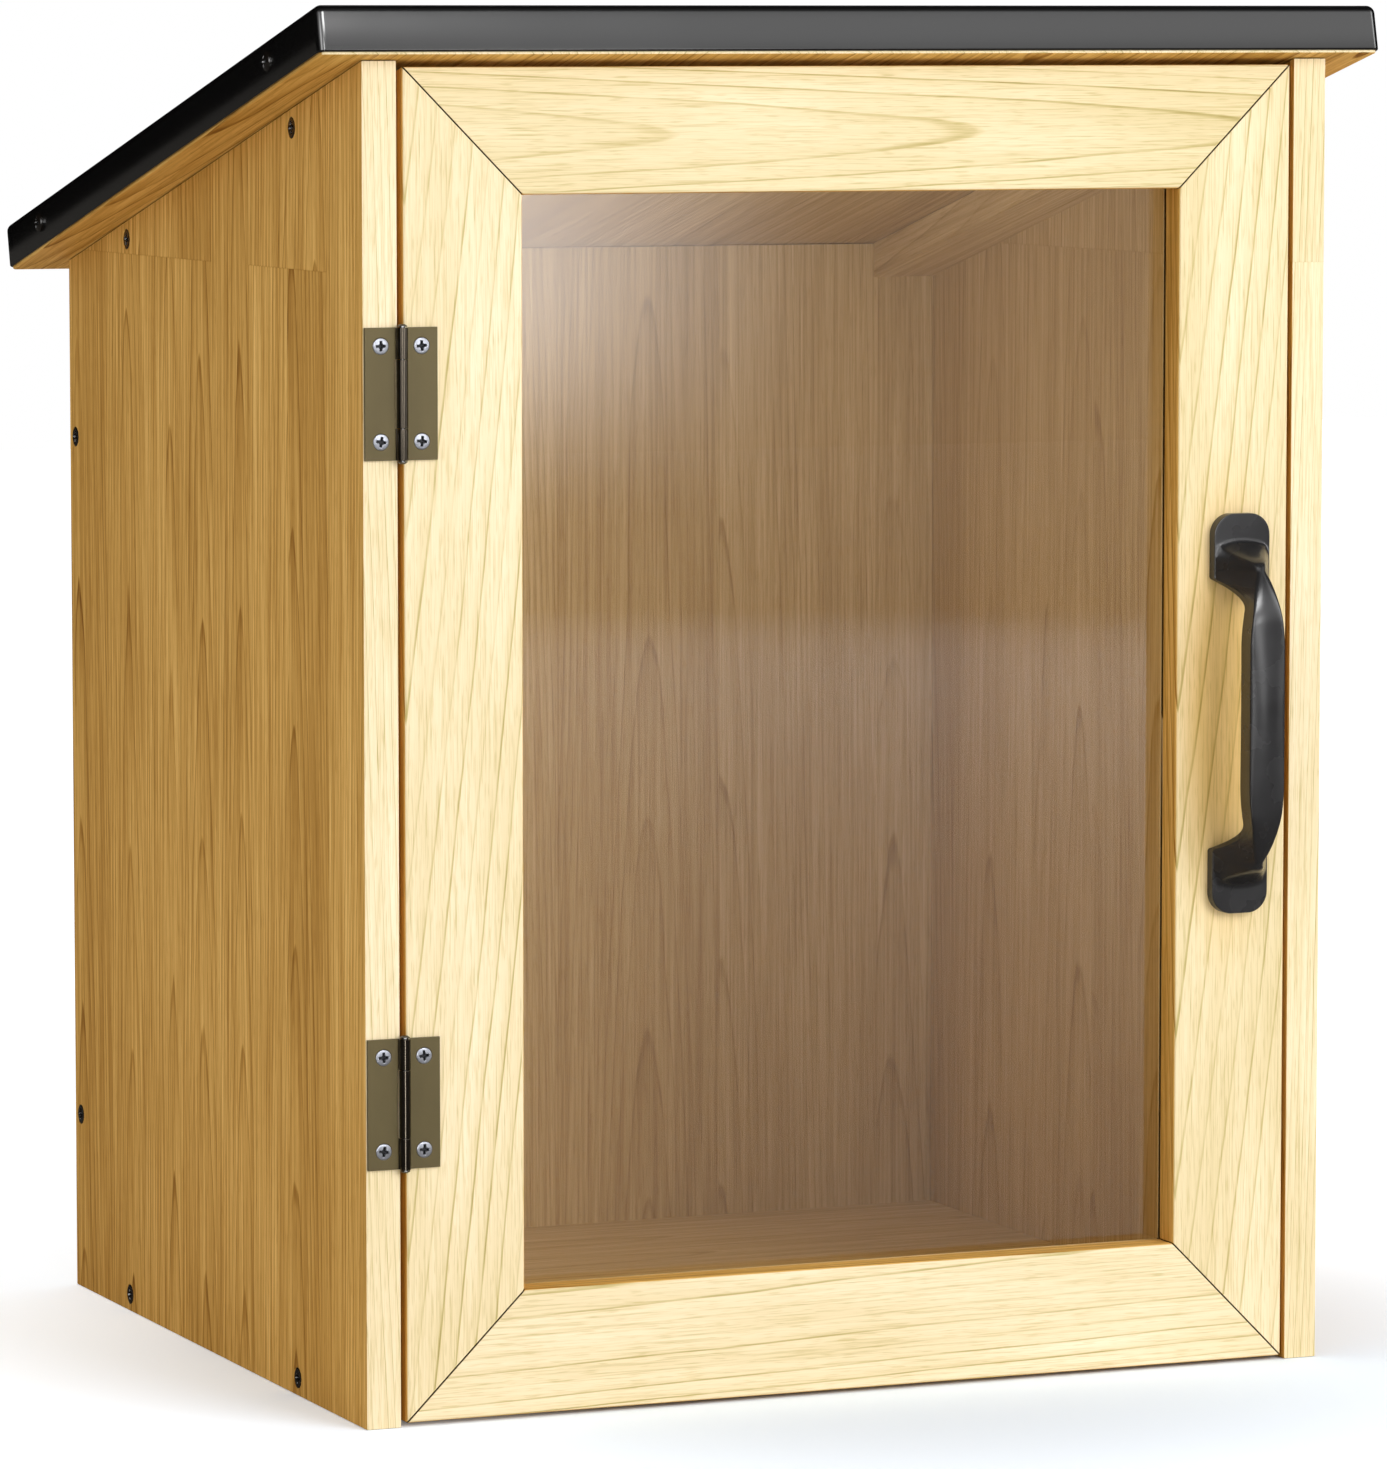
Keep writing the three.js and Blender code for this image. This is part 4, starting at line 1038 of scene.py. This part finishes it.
def screw_mesh(head, sink, rise):
    """Points, faces and the recess's faces of a cross head, seated at height 0, over a short length
    of shank. The head's radius, how deep it sits and how high its dome rises are in millimetres."""
    around = [side / SCREW_SIDES * 2 * math.pi for side in range(SCREW_SIDES)]
    points = [(0.0, 0.0, rise - RECESS_DEPTH_SHARE * head)]
    cuts = [1.0]
    for circle in range(1, SCREW_CIRCLES + 1):
        share = circle / SCREW_CIRCLES
        dome = rise * math.sqrt(1 - share**2 * DOME_SHARE)
        brim = progress(share, BRIM_START_SHARE, 1.0) * BRIM_DROP_SHARE * head
        for angle in around:
            x = share * math.cos(angle)
            y = share * math.sin(angle)
            cut = recess_share(x, y, share)
            points.append((head * x, head * y, dome - cut * RECESS_DEPTH_SHARE * head - brim))
            cuts.append(cut)
    seat = max(sink, LEAST_SEAT)
    shank = head * SHANK_SHARE
    for radius, z in ((head, -HEAD_EDGE), (shank, -seat), (shank, -seat - head)):
        for angle in around:
            points.append((radius * math.cos(angle), radius * math.sin(angle), z))
            cuts.append(0.0)
    faces = [(0, 1 + i, 1 + (i + 1) % SCREW_SIDES) for i in range(SCREW_SIDES)]
    for circle in range(SCREW_CIRCLES + 2):
        low = 1 + circle * SCREW_SIDES
        high = low + SCREW_SIDES
        for i in range(SCREW_SIDES):
            j = (i + 1) % SCREW_SIDES
            faces.append((low + i, high + i, high + j, low + j))
    last = 1 + (SCREW_CIRCLES + 2) * SCREW_SIDES
    faces.append(tuple(range(last, last + SCREW_SIDES)))
    # Faces deep in the recess, which take the painted shade.
    dark = [i for i, face in enumerate(faces) if sum(cuts[v] for v in face) / len(face) > 0.5]
    return points, faces, dark


# Each screw is turned a little, by its number in the list.
TURN_STEP = 37
TURN_SHARE = 0.25


def screws():
    """A fine head for every screw of the frame but the roof's, facing the way its board does."""
    # Part of the name, finish, slot, and the head's radius, depth and rise in millimetres.
    kinds = [
        ("side", black_screw, "black_screw", (3.9, 3.0, 0.0)),
        ("flange", black_screw, "black_screw", (3.8, 0.0, 1.8)),
        ("hinge", zinc, "zinc_screw", (3.1, 1.8, 0.3)),
        ("handle", bright_steel, "bright_steel", (4.0, 0.0, 2.4)),
        ("catch", zinc, "zinc_screw", (2.6, 0.0, 1.4)),
        ("keeper", zinc, "zinc_screw", (2.9, 1.2, 0.0)),
    ]
    meshes = {kind: screw_mesh(*size) for kind, _, _, size in kinds}
    details = {kind: (material, slot, size) for kind, material, slot, size in kinds}
    facing = {"hinge": (0, -1, 0), "handle": (0, 1, 0), "catch": (-1, 0, 0), "keeper": (0, 1, 0)}
    for index, name in enumerate(sorted(n for n in nodes if "_screw" in n and "roof_screw" not in n)):
        kind = next((k for k in ("flange", "hinge", "handle", "catch", "keeper") if k in name), "side")
        outward = (-1, 0, 0) if name.startswith("left_") else (1, 0, 0)
        normal = Vector(facing.get(kind, outward))
        low, high = node_box(name)
        seat = (low + high) / 2
        material, slot, (head, sink, rise) = details[kind]
        axis = max(range(3), key=lambda i: abs(normal[i]))
        seat[axis] = (high if normal[axis] > 0 else low)[axis] - normal[axis] * rise
        body = nodes[name]["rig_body"]
        turn = math.radians(index * TURN_STEP % 90 - 45) * TURN_SHARE
        place = placed(seat, normal, turn)
        points, faces, dark = meshes[kind]
        piece = new_piece(f"{name}_head", points, faces, material, body, place, SCREW_SHARP)
        # The recess faces get the painted shade.
        piece.data.materials.append(recess)
        for face in dark:
            piece.data.polygons[face].material_index = 1
        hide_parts(name)
    for name in nodes:
        if "roof_screw" in name:
            wear(nodes[name], zinc)


def studio_world():
    """A warm even light. Reflections see a softbox and strips of light, and the camera sees white."""
    w = Shader("studio", bpy.data.worlds)
    path = w.node("ShaderNodeLightPath").outputs
    shown = w.math("MAXIMUM", path["Is Camera Ray"], path["Is Transmission Ray"])
    aside, behind, height = w.separate(w.node("ShaderNodeTexCoord").outputs["Generated"])
    front = w.fit(behind, *SOFTBOX_AHEAD, smooth=True)
    level = w.fit(height, *SOFTBOX_RISE, smooth=True)
    level = w.times(level, w.fit(height, *SOFTBOX_FALL, 1.0, SOFTBOX_LEAST))
    softbox = w.times(w.times(front, level), SOFTBOX_LIGHT)
    turn = w.over(aside, w.unsigned(behind))
    lit = [(w.times(w.window(turn, *across), w.window(height, *up)), light) for across, up, light in STRIPS]
    strips = w.times(w.total(*lit), w.fit(behind, *STRIPS_AHEAD))
    light = w.choose(path["Is Glossy Ray"], WORLD_LIGHT, w.plus(softbox, strips))
    light = w.choose(shown, light, 1.0)
    untinted = w.math("MAXIMUM", shown, path["Is Glossy Ray"])
    inputs = {"Color": w.mix(untinted, WORLD_TINT, WHITE), "Strength": light}
    return w.finish(w.node("ShaderNodeBackground", inputs).outputs[0])


def stage_sheet(name, corners, material):
    """A flat piece of the stage, from its corners in metres."""
    mesh = bpy.data.meshes.new(name)
    mesh.from_pydata(corners, [], [(0, 1, 2, 3)])
    mesh.materials.append(material)
    piece = bpy.data.objects.new(name, mesh)
    bpy.context.scene.collection.objects.link(piece)
    return piece


def pale_floor():
    """A grey floor that lights the object. The camera sees it nearly white, with the object's shadow."""
    s = Shader("pale_floor")
    path = s.node("ShaderNodeLightPath").outputs
    seen = s.math("MAXIMUM", path["Is Camera Ray"], path["Is Transmission Ray"])
    albedo = s.choose(path["Is Glossy Ray"], FLOOR_ALBEDO, FLOOR_MIRRORED)
    lit = s.node("ShaderNodeBsdfDiffuse", {"Color": s.combine(albedo, albedo, albedo)})
    place = s.vector("SUBTRACT", s.node("ShaderNodeTexCoord").outputs["Object"], FLOOR_MIDDLE)
    away = s.node("ShaderNodeVectorMath", {0: place}, operation="LENGTH").outputs["Value"]
    glow = s.emission(s.fit(away, *FLOOR_FADE, 0.0, FLOOR_GLOW, smooth=True))
    shown = s.node("ShaderNodeBsdfDiffuse", {"Color": FLOOR_SHOWN})
    shown = s.node("ShaderNodeAddShader", {0: shown.outputs[0], 1: glow})
    mixed = s.node("ShaderNodeMixShader", {0: seen, 1: lit.outputs[0], 2: shown.outputs[0]})
    material = s.finish(mixed.outputs[0])
    corners = [(-FLOOR_REACH, -FLOOR_REACH, 0), (FLOOR_REACH, -FLOOR_REACH, 0)]
    corners += [(FLOOR_REACH, FLOOR_REACH, 0), (-FLOOR_REACH, FLOOR_REACH, 0)]
    stage_sheet("floor", corners, material)


def reflection_card(name, distance, edges, material):
    """An upright card in front of the object that only reflections see."""
    left, right, low, high = edges
    places = ((left, low), (right, low), (right, high), (left, high))
    card = stage_sheet(name, [(x, -distance, z) for x, z in places], material)
    card.visible_camera = False
    card.visible_diffuse = False
    card.visible_shadow = False
    card.visible_transmission = False


def haze():
    """A soft bright spot over a weak wash, for the milky reflection high on the left of the pane."""
    s = Shader("soft_card")
    x, _, z = s.separate(s.node("ShaderNodeTexCoord").outputs["Object"])
    across = s.times(s.fit(x, *SPOT_RIGHT, 1.0, 0.0, smooth=True), s.fit(x, *SPOT_LEFT, smooth=True))
    up = s.times(s.fit(z, *SPOT_LOW, smooth=True), s.fit(z, *SPOT_HIGH, 1.0, 0.0, smooth=True))
    spot = s.times(s.times(across, up), SPOT_LIGHT)
    wash = s.times(s.fit(z, *WASH_LOW, 0.0, WASH_LIGHT, smooth=True), s.fit(z, *SPOT_HIGH, 1.0, 0.0))
    glow = s.emission(s.plus(spot, wash))
    clear = s.node("ShaderNodeBsdfTransparent")
    return s.finish(s.node("ShaderNodeAddShader", {0: glow, 1: clear.outputs[0]}).outputs[0])


def bright_card():
    s = Shader("low_card")
    return s.finish(s.emission(THIN_STRIP))


def lamp(name, place, size, power, target):
    """A square lamp that reflections don't see."""
    data = bpy.data.lights.new(name, "AREA")
    data.shape = "SQUARE"
    data.size = size
    data.energy = power
    obj = bpy.data.objects.new(name, data)
    obj.location = place
    obj.rotation_euler = (Vector(target) - Vector(place)).to_track_quat("-Z", "Y").to_euler()
    obj.visible_glossy = False
    obj.visible_transmission = False
    bpy.context.scene.collection.objects.link(obj)


def photograph_view():
    data = bpy.data.cameras.new("view")
    data.lens = CAMERA_LENS
    data.clip_start = CAMERA_NEAR * MM
    camera = bpy.data.objects.new("view", data)
    camera.location = Vector(CAMERA_PLACE) * MM
    camera.rotation_euler = (math.radians(90 - CAMERA_DROP), 0, math.radians(-CAMERA_YAW))
    bpy.context.scene.collection.objects.link(camera)
    bpy.context.scene.camera = camera


# Directions are given as the share of a reflected ray that runs backwards or upwards, and as its
# turn aside, a tangent. Lights are strengths, of which 1 is white.
WORLD_LIGHT = 0.7
WORLD_TINT = (1.0, 0.94, 0.85, 1)
SOFTBOX_LIGHT = 1.7
SOFTBOX_AHEAD = (-0.1, -0.6)
SOFTBOX_RISE = (-0.12, 0.3)
SOFTBOX_FALL = (0.45, 0.7)
SOFTBOX_LEAST = 0.1

# Each strip has the turns and then the heights where it starts, is full, fades and ends, and its
# light. The first is mirrored by the roof's edge and the last by the knuckles of the hinges.
THIN_STRIP = 13.0
STRIPS = [
    ((-0.26, -0.16, 0.16, 0.26), (0.3, 0.42, 0.58, 0.64), 16.0),
    ((1.1, 1.4, 1.9, 2.3), (-0.3, -0.2, 0.4, 0.6), 5.0),
    ((-1.5, -1.2, -0.8, -0.6), (-0.2, -0.1, 0.3, 0.5), 5.0),
    ((-0.32, -0.28, -0.16, -0.12), (-2.0, -1.0, 0.2, 0.3), THIN_STRIP),
]
STRIPS_AHEAD = (-0.1, -0.2)

# The colour that the camera sees makes up for the warm light, so that the floor looks white and its
# shadow grey. Its glow grows with the distance from a middle, in metres.
FLOOR_REACH = 6.0
FLOOR_ALBEDO = 0.85
FLOOR_MIRRORED = 0.12
FLOOR_SHOWN = (1.0, 1.13, 1.33, 1)
FLOOR_MIDDLE = (0.06, -0.1, 0.0)
FLOOR_FADE = (0.14, 0.42)
FLOOR_GLOW = 0.38

# The haze's card: its distance, its left, right, low and high edges, and where its light fades.
HAZE_DISTANCE = 2.4
HAZE_EDGES = (0.2, 1.7, 0.0, 0.8)
SPOT_LIGHT = 13.0
SPOT_LEFT = (0.2, 0.6)
SPOT_RIGHT = (0.62, 1.0)
SPOT_LOW = (0.17, 0.36)
SPOT_HIGH = (0.5, 0.8)
WASH_LIGHT = 0.4
WASH_LOW = (0.03, 0.25)

# A low card does for the lower hinge what the last strip does for the upper one.
LOW_CARD_DISTANCE = 0.7
LOW_CARD_EDGES = (-0.35, -0.26, 0.0, 0.1)

# Name, place and width in metres, power in watts, and the place it points at.
LAMPS = [
    ("key", (1.5, -3.1, 1.5), 2.2, 68, (0, 0, 0.27)),
    ("inside", (-0.04, -0.14, 0.4), 0.12, 0.19, (0.03, 0.16, 0.25)),
]

dress_boards()
dress_fittings()
roof_cover()
pull_handle()
screws()

bpy.context.scene.view_settings.view_transform = "Standard"
bpy.context.scene.world = studio_world()
pale_floor()
reflection_card("card", HAZE_DISTANCE, HAZE_EDGES, haze())
reflection_card("low_card", LOW_CARD_DISTANCE, LOW_CARD_EDGES, bright_card())
for details in LAMPS:
    lamp(*details)
photograph_view()
